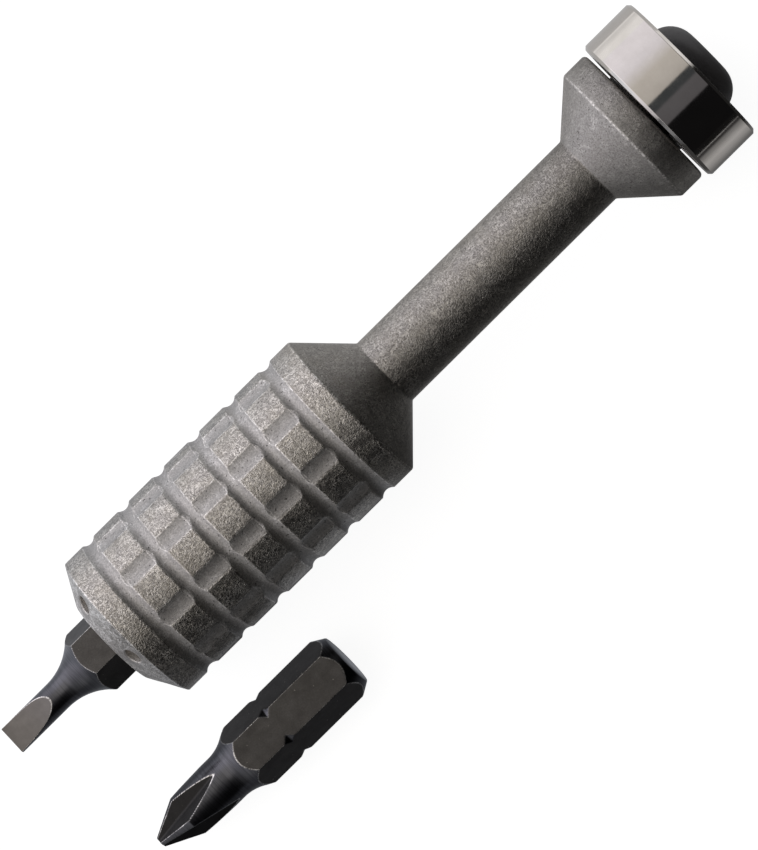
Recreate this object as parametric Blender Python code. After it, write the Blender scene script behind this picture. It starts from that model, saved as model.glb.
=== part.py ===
"""Pocket bit driver turned from titanium, with one spare bit lying beside it.

The driver lies along X with its blade towards -X and its spinning tail ring
towards +X. Z is up and the table is at z = 0. All lengths are in metres.
"""
import math

import bmesh
import bpy
from mathutils import Matrix, Vector

# Hex bits, both with the standard quarter inch drive end
BIT_LENGTH = 0.0250
BIT_ACROSS_FLATS = 0.0063
BIT_REAR_CHAMFER_DEPTH = 0.0008
BIT_REAR_CHAMFER_LENGTH = 0.00135
BIT_NOTCH_FROM_REAR = 0.0089
BIT_NOTCH_LENGTH = 0.00138
BIT_NOTCH_DEPTH = 0.00029

# Slotted bit in the nose
BLADE_SHANK_RADIUS = 0.00152
BLADE_SHANK_LENGTH = 0.0061
BLADE_FLARE_RADIUS = 0.0060
BLADE_HEX_CHAMFER = 0.00066
BLADE_HEX_CHAMFER_ANGLE = math.radians(45)
BLADE_THICKNESS = 0.0005
BLADE_GRIND_LENGTH = 0.0055
BLADE_GRIND_RADIUS = 0.0144
BLADE_ANGLE = math.radians(-8.7)

# Cross bit lying beside the driver
CROSS_TIP_RADIUS = 0.00057
CROSS_POINT_LENGTH = 0.00364
CROSS_POINT_RADIUS = 0.00240
CROSS_SHANK_RADIUS = 0.00254
CROSS_TAPER_LENGTH = 0.0040
CROSS_STRAIGHT_LENGTH = 0.00121
CROSS_FLARE_RADIUS = 0.0043
CROSS_HEX_CHAMFER = 0.00043
CROSS_HEX_CHAMFER_ANGLE = math.radians(27)
CROSS_FLUTE_COUNT = 4
CROSS_FLUTE_RUN_OUT = 0.00045
CROSS_FLUTE_ROOT_RADIUS = 0.00042
CROSS_FLUTE_FLOOR_WIDTH = 0.00016
CROSS_FLUTE_HALF_ANGLE = math.radians(65)
CROSS_WING_ANGLE = math.radians(22.3)
SPARE_BIT_SPACING = 0.01654
SPARE_BIT_TIP_FROM_NOSE = 0.01081

# Nose cap, screwed into the front of the grip, with the hex socket in it
NOSE_FACE_RADIUS = 0.0049
NOSE_BEVEL_LENGTH = 0.0020
NOSE_LAND_LENGTH = 0.00015
NOSE_PILOT_LENGTH = 0.0020
NOSE_PILOT_STEP = 0.0013
NOSE_END_WALL = 0.0015
BIT_REACH = 0.0135
SOCKET_CLEARANCE = 0.00005
SPANNER_HOLE_COUNT = 6
SPANNER_HOLE_RADIUS = 0.0009
SPANNER_HOLE_DEPTH = 0.0011
SPANNER_HOLE_PLACE_SHARE = 0.53
SPANNER_HOLE_ANGLE = math.radians(24.8)
MAGNET_RADIUS = 0.0030
MAGNET_THICKNESS = 0.0030

# Grip, with ring grooves and lengthwise flutes between them
GRIP_RADIUS = 0.0084
GRIP_FRONT_WALL = 0.0011
FRONT_BAND_LENGTH = 0.00307
RING_GROOVE_COUNT = 6
RING_GROOVE_PITCH = 0.0047
RING_GROOVE_RADIUS = 0.00098
RING_GROOVE_DEPTH = 0.00035
REAR_BAND_LENGTH = 0.00321
FLUTE_COUNT = 10
FLUTE_RADIUS = 0.00275
FLUTE_DEPTH = 0.00023
FLUTE_ANGLE = math.radians(18)

# Neck and flared head of the same turned piece
SHOULDER_CONE_LENGTH = 0.00455
NECK_RADIUS = 0.00376
NECK_LENGTH = 0.02698
HEAD_CONE_LENGTH = 0.0046
HEAD_RADIUS = 0.00795
HEAD_RIM_LENGTH = 0.00279
HEAD_EDGE_RADIUS = 0.00045

# Ball bearing that makes the spinning ring: 6 mm bore, 17 mm across, 6 mm wide
BEARING_BORE_RADIUS = 0.0030
BEARING_CHAMFER = 0.0003
RACE_WALL = 0.00092
RACE_SHOULDER_SHARE = 0.68
BALL_COUNT = 6
BALL_RADIUS = 0.00175
BALL_PLAY = 0.00008
SHIELD_THICKNESS = 0.0003
SHIELD_RECESS = 0.0003
SHIELD_RIM_DEPTH = 0.00035
SHIELD_INNER_GAP = 0.0002
SHIELD_CAGE_GAP = 0.0003
CAGE_THICKNESS = 0.00025
CAGE_WIDTH = 0.0012
CAGE_POCKET_PLAY = 0.0001
CAGE_SEAM = 0.00006
RIVET_RADIUS = 0.00025
RIVET_HEAD_RADIUS = 0.00045
RIVET_HEAD_HEIGHT = 0.0002

# Spacer washer, and the black axle screw with its domed head
SPACER_RADIUS = 0.00475
SPACER_THICKNESS = 0.00025
DOME_RADIUS = 0.0049
DOME_TOP_RADIUS = 0.0025
DOME_HEIGHT = 0.0020
DOME_ARC_RADIUS = 0.0028
DOME_DRIVE_ACROSS_FLATS = 0.0030
DOME_DRIVE_DEPTH = 0.0016
AXLE_THREAD_RADIUS = 0.0025
AXLE_THREAD_LENGTH = 0.0080
AXLE_END_CHAMFER = 0.0004
AXLE_HOLE_SPARE_DEPTH = 0.0006

# Clearances, and the tolerances of the modelling itself
FIT_CLEARANCE = 0.00004
SEAT_GAP = 0.00005
CUT_OVERRUN = 0.0010
MERGE_DISTANCE = 0.0000001
ROUND_SEGMENTS = 48
INNER_SEGMENTS = 32
HOLE_SEGMENTS = 16
BALL_SEGMENTS = 12
BALL_RINGS = 6
PIN_SEGMENTS = 8
CREASE_ANGLE = math.radians(28)

# Bearing sizes that follow from the balls and the races
BALL_PITCH_RADIUS = BEARING_BORE_RADIUS + RACE_WALL + BALL_PLAY + BALL_RADIUS
BEARING_RADIUS = BALL_PITCH_RADIUS + BALL_RADIUS + BALL_PLAY + RACE_WALL
RACEWAY_RADIUS = BALL_RADIUS + BALL_PLAY
SHOULDER_RISE = BALL_RADIUS * RACE_SHOULDER_SHARE
INNER_SHOULDER_RADIUS = BALL_PITCH_RADIUS - SHOULDER_RISE
OUTER_SHOULDER_RADIUS = BALL_PITCH_RADIUS + SHOULDER_RISE
SHIELD_SEAT_RADIUS = OUTER_SHOULDER_RADIUS + SHIELD_RIM_DEPTH
POCKET_RADIUS = BALL_RADIUS + CAGE_POCKET_PLAY
CAGE_REACH = POCKET_RADIUS + CAGE_THICKNESS
BEARING_WIDTH = 2 * (CAGE_REACH + SHIELD_CAGE_GAP + SHIELD_THICKNESS + SHIELD_RECESS)

# Nose sizes that follow from the grip and the bit
PILOT_RADIUS = GRIP_RADIUS - GRIP_FRONT_WALL
STEM_RADIUS = PILOT_RADIUS - NOSE_PILOT_STEP
BIT_CORNER_RADIUS = BIT_ACROSS_FLATS / math.sqrt(3)

# Stations along the driver, counted from the nose's front face
NOSE_SEAM = NOSE_BEVEL_LENGTH + NOSE_LAND_LENGTH
PILOT_END = NOSE_SEAM + NOSE_PILOT_LENGTH
SOCKET_END = BIT_LENGTH - BIT_REACH + SEAT_GAP
MAGNET_END = SOCKET_END + MAGNET_THICKNESS
STEM_END = MAGNET_END + SEAT_GAP + NOSE_END_WALL
FIRST_GROOVE = NOSE_BEVEL_LENGTH + FRONT_BAND_LENGTH
LAST_GROOVE = FIRST_GROOVE + (RING_GROOVE_COUNT - 1) * RING_GROOVE_PITCH
SHOULDER = LAST_GROOVE + REAR_BAND_LENGTH
NECK_START = SHOULDER + SHOULDER_CONE_LENGTH
NECK_END = NECK_START + NECK_LENGTH
HEAD_RIM_START = NECK_END + HEAD_CONE_LENGTH
HEAD_TOP = HEAD_RIM_START + HEAD_RIM_LENGTH
SPACER_START = HEAD_TOP + SEAT_GAP
SPACER_END = SPACER_START + SPACER_THICKNESS
BEARING_START = SPACER_END + SEAT_GAP
BEARING_MIDDLE = BEARING_START + BEARING_WIDTH / 2
BEARING_END = BEARING_START + BEARING_WIDTH
DOME_SEAT = BEARING_END + SEAT_GAP
DOME_TOP = DOME_SEAT + DOME_HEIGHT
AXLE_END = HEAD_TOP - AXLE_THREAD_LENGTH

# Where the driver and the spare bit lie, with the whole set centred on the origin
FLAT_SHARE = math.cos(math.pi / ROUND_SEGMENTS)
DRIVER_HALF_HEIGHT = max(BEARING_RADIUS, GRIP_RADIUS) * FLAT_SHARE
DRIVER_X = (BIT_REACH - DOME_TOP) / 2
DRIVER_Y = (SPARE_BIT_SPACING + BIT_CORNER_RADIUS - DRIVER_HALF_HEIGHT) / 2
AXIS_X = Vector((1, 0, 0))


def clear_scene():
    """Remove every object that the scene starts with."""
    for scene_object in list(bpy.data.objects):
        bpy.data.objects.remove(scene_object, do_unlink=True)


def make_material(name, colour, roughness, metallic):
    """Make a plain Principled material."""
    material = bpy.data.materials.new(name)
    material.use_nodes = True
    shader = material.node_tree.nodes["Principled BSDF"]
    shader.inputs["Base Color"].default_value = (*colour, 1)
    shader.inputs["Roughness"].default_value = roughness
    shader.inputs["Metallic"].default_value = metallic
    material.diffuse_color = (*colour, 1)
    return material


def make_axis(name, location):
    """Make an empty that stands on an axis and carries the pieces on it."""
    empty = bpy.data.objects.new(name, None)
    empty.location = location
    bpy.context.scene.collection.objects.link(empty)
    return empty


def make_piece(name, mesh_builder, material, parent):
    """Turn a finished bmesh into a named object on its carrier."""
    bmesh.ops.remove_doubles(mesh_builder, verts=mesh_builder.verts, dist=MERGE_DISTANCE)
    bmesh.ops.recalc_face_normals(mesh_builder, faces=mesh_builder.faces)
    mesh = bpy.data.meshes.new(name)
    mesh_builder.to_mesh(mesh)
    mesh_builder.free()
    if material is not None:
        mesh.materials.append(material)
    mesh.shade_smooth()
    mesh.set_sharp_from_angle(angle=CREASE_ANGLE)
    piece = bpy.data.objects.new(name, mesh)
    piece.parent = parent
    bpy.context.scene.collection.objects.link(piece)
    return piece


def arc(centre, radius, start, end, steps):
    """Points of an arc in the (x, r) half plane, from one angle to another."""
    angles = [start + (end - start) * step / steps for step in range(steps + 1)]
    return [(centre[0] + radius * math.cos(angle), centre[1] + radius * math.sin(angle))
            for angle in angles]


def arc_through(first, last, radius, steps, spare_steps=0):
    """Points of an arc from first to last, with its centre on the right of that way.

    Spare steps carry the arc on past both of its ends.
    """
    start = Vector(first)
    chord = Vector(last) - start
    half = chord.length / 2
    right = Vector((chord.y, -chord.x)).normalized()
    centre = start + chord / 2 + right * math.sqrt(max(radius * radius - half * half, 0))
    step_angle = 2 * math.asin(min(half / radius, 1)) / steps
    start_angle = math.atan2(start.y - centre.y, start.x - centre.x)
    from_angle = start_angle + spare_steps * step_angle
    to_angle = start_angle - (steps + spare_steps) * step_angle
    return arc(centre, radius, from_angle, to_angle, steps + 2 * spare_steps)


def around(angle):
    """Rotation about the long axis: zero faces up, and it turns towards -Y."""
    return Matrix.Rotation(angle, 3, AXIS_X)


def turned(name, profile, material, parent, segments=ROUND_SEGMENTS, closed=False):
    """Spin an (x, r) profile about X, with a flat facet at the very bottom."""
    mesh_builder = bmesh.new()
    start = around(math.pi / segments)
    corners = [mesh_builder.verts.new(start @ Vector((x, 0, r))) for x, r in profile]
    pairs = list(zip(corners, corners[1:]))
    if closed:
        pairs.append((corners[-1], corners[0]))
    edges = [mesh_builder.edges.new(pair) for pair in pairs]
    bmesh.ops.spin(mesh_builder, geom=corners + edges, cent=Vector(), axis=AXIS_X,
                   dvec=Vector(), angle=math.tau, steps=segments, use_merge=True)
    return make_piece(name, mesh_builder, material, parent)


def add_loft(mesh_builder, first_loop, last_loop):
    """Join two loops of as many corners into one closed solid."""
    first = [mesh_builder.verts.new(corner) for corner in first_loop]
    last = [mesh_builder.verts.new(corner) for corner in last_loop]
    ends = [mesh_builder.faces.new(first), mesh_builder.faces.new(last)]
    edges = [edge for end in ends for edge in end.edges]
    bmesh.ops.bridge_loops(mesh_builder, edges=edges)


def add_bar(mesh_builder, outline, start, end, angle):
    """Add a bar along X from its (sideways, outward) outline."""
    turn = around(angle)
    first, last = [[turn @ Vector((x, -side, out)) for side, out in outline]
                   for x in (start, end)]
    add_loft(mesh_builder, first, last)


def add_slab(mesh_builder, outline, half_width, angle):
    """Add a slab across the axis from its (x, outward) outline."""
    turn = around(angle)
    first, last = [[turn @ Vector((x, side, out)) for x, out in outline]
                   for side in (-half_width, half_width)]
    add_loft(mesh_builder, first, last)


def hexagon(across_flats):
    """Corners of a hexagon with one flat facing outward."""
    radius = across_flats / math.sqrt(3)
    angles = [math.radians(30 + 60 * corner) for corner in range(6)]
    return [(radius * math.sin(angle), radius * math.cos(angle)) for angle in angles]


def hex_bar(name, across_flats, start, end, angle, parent):
    """Make a hexagonal bar along X."""
    mesh_builder = bmesh.new()
    add_bar(mesh_builder, hexagon(across_flats), start, end, angle)
    return make_piece(name, mesh_builder, None, parent)


def shape(piece, cutter, operation="DIFFERENCE"):
    """Cut, join or intersect a piece with a helper solid, and hide the helper."""
    cutter.hide_render = True
    cutter.display_type = "WIRE"
    modifier = piece.modifiers.new(cutter.name, "BOOLEAN")
    modifier.operation = operation
    modifier.solver = "EXACT"
    modifier.object = cutter


def drive_profile(flare_end, chamfer_angle):
    """What turning leaves of a bit's hexagon, from its front chamfer to its rear face."""
    beyond = BIT_CORNER_RADIUS + CUT_OVERRUN
    chamfer_run = (beyond - flare_end[1]) / math.tan(chamfer_angle)
    rear_slope = BIT_REAR_CHAMFER_LENGTH / BIT_REAR_CHAMFER_DEPTH
    rear_run = rear_slope * (BIT_REAR_CHAMFER_DEPTH + CUT_OVERRUN)
    return [
        (flare_end[0] + chamfer_run, beyond),
        (BIT_LENGTH - rear_run, beyond),
        (BIT_LENGTH, BIT_CORNER_RADIUS - BIT_REAR_CHAMFER_DEPTH),
        (BIT_LENGTH, 0),
    ]


def notch_cutter(name, parent):
    """Ring with a blunt edge, which cuts the detent notches into a bit's six corners."""
    beyond = BIT_CORNER_RADIUS + CUT_OVERRUN
    middle = BIT_LENGTH - BIT_NOTCH_FROM_REAR
    run = BIT_NOTCH_LENGTH / 2 / BIT_NOTCH_DEPTH * (BIT_NOTCH_DEPTH + CUT_OVERRUN)
    outline = [
        (middle - run, beyond),
        (middle, BIT_CORNER_RADIUS - BIT_NOTCH_DEPTH),
        (middle + run, beyond),
    ]
    return turned(name, outline, None, parent, INNER_SEGMENTS, closed=True)


def flare(start, shank_radius, flare_radius, end_radius):
    """The hollow curve from a bit's round shank out towards its hexagon."""
    sweep = math.acos(max(1 - (end_radius - shank_radius) / flare_radius, -1))
    centre = (start, shank_radius + flare_radius)
    return arc(centre, flare_radius, -math.pi / 2, -math.pi / 2 + sweep, 6)


def make_hex_bit(name, front, chamfer_angle, hex_angle, material, parent):
    """Turn a hexagonal bar down to a bit's profile, whose front ends at the flare."""
    profile = front + drive_profile(front[-1], chamfer_angle)
    bit = turned(name, profile, material, parent, INNER_SEGMENTS)
    bar = hex_bar(name + "_bar", BIT_ACROSS_FLATS, -CUT_OVERRUN, BIT_LENGTH + CUT_OVERRUN,
                  hex_angle, parent)
    shape(bit, bar, "INTERSECT")
    shape(bit, notch_cutter(name + "_notches", parent))
    return bit


def make_slotted_bit(material, parent):
    """The bit in the nose: its round shank is hollow ground to a flat blade."""
    curve = flare(BLADE_SHANK_LENGTH, BLADE_SHANK_RADIUS, BLADE_FLARE_RADIUS,
                  BIT_CORNER_RADIUS - BLADE_HEX_CHAMFER)
    front = [(0, 0), (0, BLADE_SHANK_RADIUS)] + curve
    bit = make_hex_bit("slotted_bit", front, BLADE_HEX_CHAMFER_ANGLE, BLADE_ANGLE,
                       material, parent)
    grind = arc_through((BLADE_GRIND_LENGTH, BLADE_SHANK_RADIUS), (0, BLADE_THICKNESS / 2),
                        BLADE_GRIND_RADIUS, 8, spare_steps=1)
    beyond = grind[0][1] + CUT_OVERRUN
    outline = grind + [(grind[-1][0], beyond), (grind[0][0], beyond)]
    for side, angle in (("upper", BLADE_ANGLE), ("lower", BLADE_ANGLE + math.pi)):
        mesh_builder = bmesh.new()
        add_slab(mesh_builder, outline, BLADE_SHANK_RADIUS + CUT_OVERRUN, angle)
        shape(bit, make_piece("blade_grind_" + side, mesh_builder, None, parent))
    return bit


def make_cross_bit(material, parent):
    """The spare bit: a cross point with four tapering flutes."""
    taper_end = CROSS_POINT_LENGTH + CROSS_TAPER_LENGTH
    shank_end = taper_end + CROSS_STRAIGHT_LENGTH
    flute_end = shank_end - CROSS_FLUTE_RUN_OUT
    curve = flare(shank_end, CROSS_SHANK_RADIUS, CROSS_FLARE_RADIUS,
                  BIT_CORNER_RADIUS - CROSS_HEX_CHAMFER)
    front = [
        (0, 0),
        (0, CROSS_TIP_RADIUS),
        (CROSS_POINT_LENGTH, CROSS_POINT_RADIUS),
        (taper_end, CROSS_SHANK_RADIUS),
    ] + curve
    bit = make_hex_bit("phillips_bit", front, CROSS_HEX_CHAMFER_ANGLE, 0, material, parent)
    root_slope = (CROSS_SHANK_RADIUS - CROSS_FLUTE_ROOT_RADIUS) / flute_end
    side_height = CROSS_SHANK_RADIUS + CUT_OVERRUN
    side_run = side_height * math.tan(CROSS_FLUTE_HALF_ANGLE)
    half_floor = CROSS_FLUTE_FLOOR_WIDTH / 2
    for flute in range(CROSS_FLUTE_COUNT):
        turn = around(CROSS_WING_ANGLE + math.tau * (flute + 0.5) / CROSS_FLUTE_COUNT)
        loops = []
        for x in (-CUT_OVERRUN, shank_end):
            root = CROSS_FLUTE_ROOT_RADIUS + root_slope * x
            outline = [
                (-half_floor, root),
                (half_floor, root),
                (half_floor + side_run, root + side_height),
                (-half_floor - side_run, root + side_height),
            ]
            loops.append([turn @ Vector((x, -side, out)) for side, out in outline])
        mesh_builder = bmesh.new()
        add_loft(mesh_builder, *loops)
        shape(bit, make_piece(f"cross_flute_{flute + 1}", mesh_builder, None, parent))
    return bit


def make_spanner_holes(parent):
    """Cutter for the blind holes drilled square to the nose's bevel."""
    bevel = Vector((NOSE_BEVEL_LENGTH, GRIP_RADIUS - NOSE_FACE_RADIUS))
    outward = Vector((-bevel.y, 0, bevel.x)).normalized()
    place = bevel * SPANNER_HOLE_PLACE_SHARE
    mouth = Vector((place.x, 0, NOSE_FACE_RADIUS + place.y))
    middle = mouth + outward * (CUT_OVERRUN - SPANNER_HOLE_DEPTH) / 2
    lean = outward.to_track_quat("Z", "Y").to_matrix().to_4x4()
    mesh_builder = bmesh.new()
    for hole in range(SPANNER_HOLE_COUNT):
        turn = around(SPANNER_HOLE_ANGLE + math.tau * hole / SPANNER_HOLE_COUNT).to_4x4()
        bmesh.ops.create_cone(
            mesh_builder, cap_ends=True, segments=HOLE_SEGMENTS,
            radius1=SPANNER_HOLE_RADIUS, radius2=SPANNER_HOLE_RADIUS,
            depth=SPANNER_HOLE_DEPTH + CUT_OVERRUN,
            matrix=turn @ Matrix.Translation(middle) @ lean)
    return make_piece("spanner_holes", mesh_builder, None, parent)


def make_nose_cap(material, parent):
    """Bevelled cap with a hex socket, a magnet pocket and six spanner holes."""
    profile = [
        (0, 0),
        (0, NOSE_FACE_RADIUS),
        (NOSE_BEVEL_LENGTH, GRIP_RADIUS),
        (NOSE_SEAM, GRIP_RADIUS),
        (NOSE_SEAM, PILOT_RADIUS),
        (PILOT_END, PILOT_RADIUS),
        (PILOT_END, STEM_RADIUS),
        (STEM_END, STEM_RADIUS),
        (STEM_END, 0),
    ]
    cap = turned("nose_cap", profile, material, parent)
    socket = hex_bar("hex_socket", BIT_ACROSS_FLATS + 2 * SOCKET_CLEARANCE, -CUT_OVERRUN,
                     SOCKET_END, BLADE_ANGLE, parent)
    pocket_radius = MAGNET_RADIUS + FIT_CLEARANCE
    pocket_end = MAGNET_END + SEAT_GAP
    pocket = turned("magnet_pocket", [
        (0, 0),
        (0, pocket_radius),
        (pocket_end, pocket_radius),
        (pocket_end, 0),
    ], None, parent, INNER_SEGMENTS)
    shape(cap, socket)
    shape(cap, pocket)
    shape(cap, make_spanner_holes(parent))
    return cap


def make_magnet(material, parent):
    """Disc magnet at the bottom of the socket."""
    return turned("socket_magnet", [
        (SOCKET_END + SEAT_GAP, 0),
        (SOCKET_END + SEAT_GAP, MAGNET_RADIUS),
        (MAGNET_END, MAGNET_RADIUS),
        (MAGNET_END, 0),
    ], material, parent, INNER_SEGMENTS)


def ring_groove(station):
    """One round-bottomed groove of the grip's outline, ending on the grip's surface."""
    half_angle = math.acos(max(1 - RING_GROOVE_DEPTH / RING_GROOVE_RADIUS, 0))
    centre = (station, GRIP_RADIUS + RING_GROOVE_RADIUS - RING_GROOVE_DEPTH)
    bottom = -math.pi / 2
    return arc(centre, RING_GROOVE_RADIUS, bottom - half_angle, bottom + half_angle, 4)


def make_grip_flutes(parent):
    """Cutter for the shallow flutes, which run out in the first and last ring groove."""
    reach = FLUTE_DEPTH + CUT_OVERRUN
    half_angle = math.acos(max(1 - FLUTE_DEPTH * 2 / FLUTE_RADIUS, 0))
    centre = (0, GRIP_RADIUS + FLUTE_RADIUS - FLUTE_DEPTH)
    floor = arc(centre, FLUTE_RADIUS, -math.pi / 2 - half_angle, -math.pi / 2 + half_angle, 8)
    top = GRIP_RADIUS + reach
    outline = floor + [(floor[-1][0], top), (floor[0][0], top)]
    mesh_builder = bmesh.new()
    for flute in range(FLUTE_COUNT):
        angle = FLUTE_ANGLE + math.tau * flute / FLUTE_COUNT
        add_bar(mesh_builder, outline, FIRST_GROOVE, LAST_GROOVE, angle)
    return make_piece("grip_flutes", mesh_builder, None, parent)


def make_grip_body(material, parent):
    """Grip, neck and flared head, turned as one piece with a bore at each end."""
    pilot_bore = PILOT_RADIUS + FIT_CLEARANCE
    stem_bore = STEM_RADIUS + FIT_CLEARANCE
    axle_bore = AXLE_THREAD_RADIUS + FIT_CLEARANCE
    axle_bore_end = AXLE_END - AXLE_HOLE_SPARE_DEPTH
    profile = [
        (STEM_END + SEAT_GAP, 0),
        (STEM_END + SEAT_GAP, stem_bore),
        (PILOT_END + SEAT_GAP, stem_bore),
        (PILOT_END + SEAT_GAP, pilot_bore),
        (NOSE_SEAM + SEAT_GAP, pilot_bore),
        (NOSE_SEAM + SEAT_GAP, GRIP_RADIUS),
    ]
    for groove in range(RING_GROOVE_COUNT):
        profile += ring_groove(FIRST_GROOVE + groove * RING_GROOVE_PITCH)
    edge_centre = (HEAD_TOP - HEAD_EDGE_RADIUS, HEAD_RADIUS - HEAD_EDGE_RADIUS)
    profile += [
        (SHOULDER, GRIP_RADIUS),
        (NECK_START, NECK_RADIUS),
        (NECK_END, NECK_RADIUS),
        (HEAD_RIM_START, HEAD_RADIUS),
    ]
    profile += arc(edge_centre, HEAD_EDGE_RADIUS, math.pi / 2, 0, 3)
    profile += [
        (HEAD_TOP, axle_bore),
        (axle_bore_end, axle_bore),
        (axle_bore_end, 0),
    ]
    body = turned("grip_body", profile, material, parent)
    shape(body, make_grip_flutes(parent))
    return body


def make_spacer(material, parent):
    """Washer that holds the bearing clear of the head."""
    return turned("spacer_washer", [
        (SPACER_START, BEARING_BORE_RADIUS),
        (SPACER_START, SPACER_RADIUS),
        (SPACER_END, SPACER_RADIUS),
        (SPACER_END, BEARING_BORE_RADIUS),
    ], material, parent, INNER_SEGMENTS, closed=True)


def make_inner_race(material, parent):
    """Fixed race, clamped between the spacer and the axle screw."""
    track = math.asin(RACE_SHOULDER_SHARE * BALL_RADIUS / RACEWAY_RADIUS)
    raceway = arc((BEARING_MIDDLE, BALL_PITCH_RADIUS), RACEWAY_RADIUS,
                  math.pi + track, math.tau - track, 6)
    profile = [
        (BEARING_START, BEARING_BORE_RADIUS + BEARING_CHAMFER),
        (BEARING_START, INNER_SHOULDER_RADIUS),
    ] + raceway + [
        (BEARING_END, INNER_SHOULDER_RADIUS),
        (BEARING_END, BEARING_BORE_RADIUS + BEARING_CHAMFER),
        (BEARING_END - BEARING_CHAMFER, BEARING_BORE_RADIUS),
        (BEARING_START + BEARING_CHAMFER, BEARING_BORE_RADIUS),
    ]
    return turned("bearing_inner_race", profile, material, parent, INNER_SEGMENTS, closed=True)


def make_outer_race(material, parent):
    """Spinning race, the polished ring that the fingers turn."""
    track = math.asin(RACE_SHOULDER_SHARE * BALL_RADIUS / RACEWAY_RADIUS)
    raceway = arc((BEARING_MIDDLE, BALL_PITCH_RADIUS), RACEWAY_RADIUS, track, math.pi - track, 6)
    seat_depth = SHIELD_RECESS + SHIELD_THICKNESS + SEAT_GAP
    profile = [
        (BEARING_START, SHIELD_SEAT_RADIUS),
        (BEARING_START, BEARING_RADIUS - BEARING_CHAMFER),
        (BEARING_START + BEARING_CHAMFER, BEARING_RADIUS),
        (BEARING_END - BEARING_CHAMFER, BEARING_RADIUS),
        (BEARING_END, BEARING_RADIUS - BEARING_CHAMFER),
        (BEARING_END, SHIELD_SEAT_RADIUS),
        (BEARING_END - seat_depth, SHIELD_SEAT_RADIUS),
        (BEARING_END - seat_depth, OUTER_SHOULDER_RADIUS),
    ] + raceway + [
        (BEARING_START + seat_depth, OUTER_SHOULDER_RADIUS),
        (BEARING_START + seat_depth, SHIELD_SEAT_RADIUS),
    ]
    return turned("bearing_outer_race", profile, material, parent, closed=True)


def make_shield(name, start, material, parent):
    """Thin shield seated in the outer race, clear of the inner one."""
    inner = INNER_SHOULDER_RADIUS + SHIELD_INNER_GAP
    outer = SHIELD_SEAT_RADIUS - FIT_CLEARANCE
    end = start + SHIELD_THICKNESS
    profile = [(start, inner), (start, outer), (end, outer), (end, inner)]
    return turned(name, profile, material, parent, INNER_SEGMENTS, closed=True)


def make_balls(name, radius, parent):
    """Helper solid of one sphere in each of the cage's pockets."""
    mesh_builder = bmesh.new()
    for ball in range(BALL_COUNT):
        turn = around(math.tau * ball / BALL_COUNT).to_4x4()
        place = Matrix.Translation((BEARING_MIDDLE, 0, BALL_PITCH_RADIUS))
        bmesh.ops.create_uvsphere(mesh_builder, u_segments=BALL_SEGMENTS,
                                  v_segments=BALL_RINGS, radius=radius, matrix=turn @ place)
    return make_piece(name, mesh_builder, None, parent)


def make_rivet_holes(name, parent):
    """Helper solid of one pin between each pair of pockets."""
    mesh_builder = bmesh.new()
    for rivet in range(BALL_COUNT):
        turn = around(math.tau * (rivet + 0.5) / BALL_COUNT).to_4x4()
        place = Matrix.Translation((BEARING_MIDDLE, 0, BALL_PITCH_RADIUS))
        lean = Matrix.Rotation(math.pi / 2, 4, "Y")
        bmesh.ops.create_cone(mesh_builder, cap_ends=True, segments=PIN_SEGMENTS,
                              radius1=RIVET_RADIUS + FIT_CLEARANCE,
                              radius2=RIVET_RADIUS + FIT_CLEARANCE,
                              depth=2 * CAGE_REACH, matrix=turn @ place @ lean)
    return make_piece(name, mesh_builder, None, parent)


def make_cage_half(name, side, material, parent):
    """One pressed half of the ball cage: a flat ring that domes over each ball."""
    inner = BALL_PITCH_RADIUS - CAGE_WIDTH / 2
    outer = BALL_PITCH_RADIUS + CAGE_WIDTH / 2
    seam = BEARING_MIDDLE + side * CAGE_SEAM / 2
    face = seam + side * CAGE_THICKNESS
    beyond = BEARING_MIDDLE + side * (CAGE_REACH + SHIELD_CAGE_GAP)
    before = seam - side * CAGE_THICKNESS
    web_inner = inner - CAGE_THICKNESS
    web_outer = outer + CAGE_THICKNESS
    web = [(before, web_inner), (before, web_outer), (face, web_outer), (face, web_inner)]
    band = [(seam, inner), (seam, outer), (beyond, outer), (beyond, inner)]
    half = turned(name, web, material, parent, INNER_SEGMENTS, closed=True)
    shape(half, make_balls(name + "_domes", CAGE_REACH, parent), "UNION")
    trim = turned(name + "_band", band, None, parent, INNER_SEGMENTS, closed=True)
    shape(half, trim, "INTERSECT")
    shape(half, make_balls(name + "_pockets", POCKET_RADIUS, parent))
    shape(half, make_rivet_holes(name + "_rivet_holes", parent))
    return half


def make_ball(number, material, parent):
    """One steel ball, with its origin at its centre."""
    mesh_builder = bmesh.new()
    bmesh.ops.create_uvsphere(mesh_builder, u_segments=BALL_SEGMENTS, v_segments=BALL_RINGS,
                              radius=BALL_RADIUS)
    ball = make_piece(f"bearing_ball_{number + 1}", mesh_builder, material, parent)
    turn = around(math.tau * number / BALL_COUNT)
    ball.location = turn @ Vector((BEARING_MIDDLE, 0, BALL_PITCH_RADIUS))
    ball.rotation_euler = turn.to_euler()
    return ball


def make_rivet(number, material, parent):
    """One rivet that joins the cage halves, with its origin at its middle."""
    head_seat = CAGE_SEAM / 2 + CAGE_THICKNESS + SEAT_GAP
    head_top = head_seat + RIVET_HEAD_HEIGHT
    rivet = turned(f"cage_rivet_{number + 1}", [
        (-head_top, 0),
        (-head_top, RIVET_RADIUS),
        (-head_seat, RIVET_HEAD_RADIUS),
        (-head_seat, RIVET_RADIUS),
        (head_seat, RIVET_RADIUS),
        (head_seat, RIVET_HEAD_RADIUS),
        (head_top, RIVET_RADIUS),
        (head_top, 0),
    ], material, parent, segments=PIN_SEGMENTS)
    turn = around(math.tau * (number + 0.5) / BALL_COUNT)
    rivet.location = turn @ Vector((BEARING_MIDDLE, 0, BALL_PITCH_RADIUS))
    rivet.rotation_euler = turn.to_euler()
    return rivet


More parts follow.
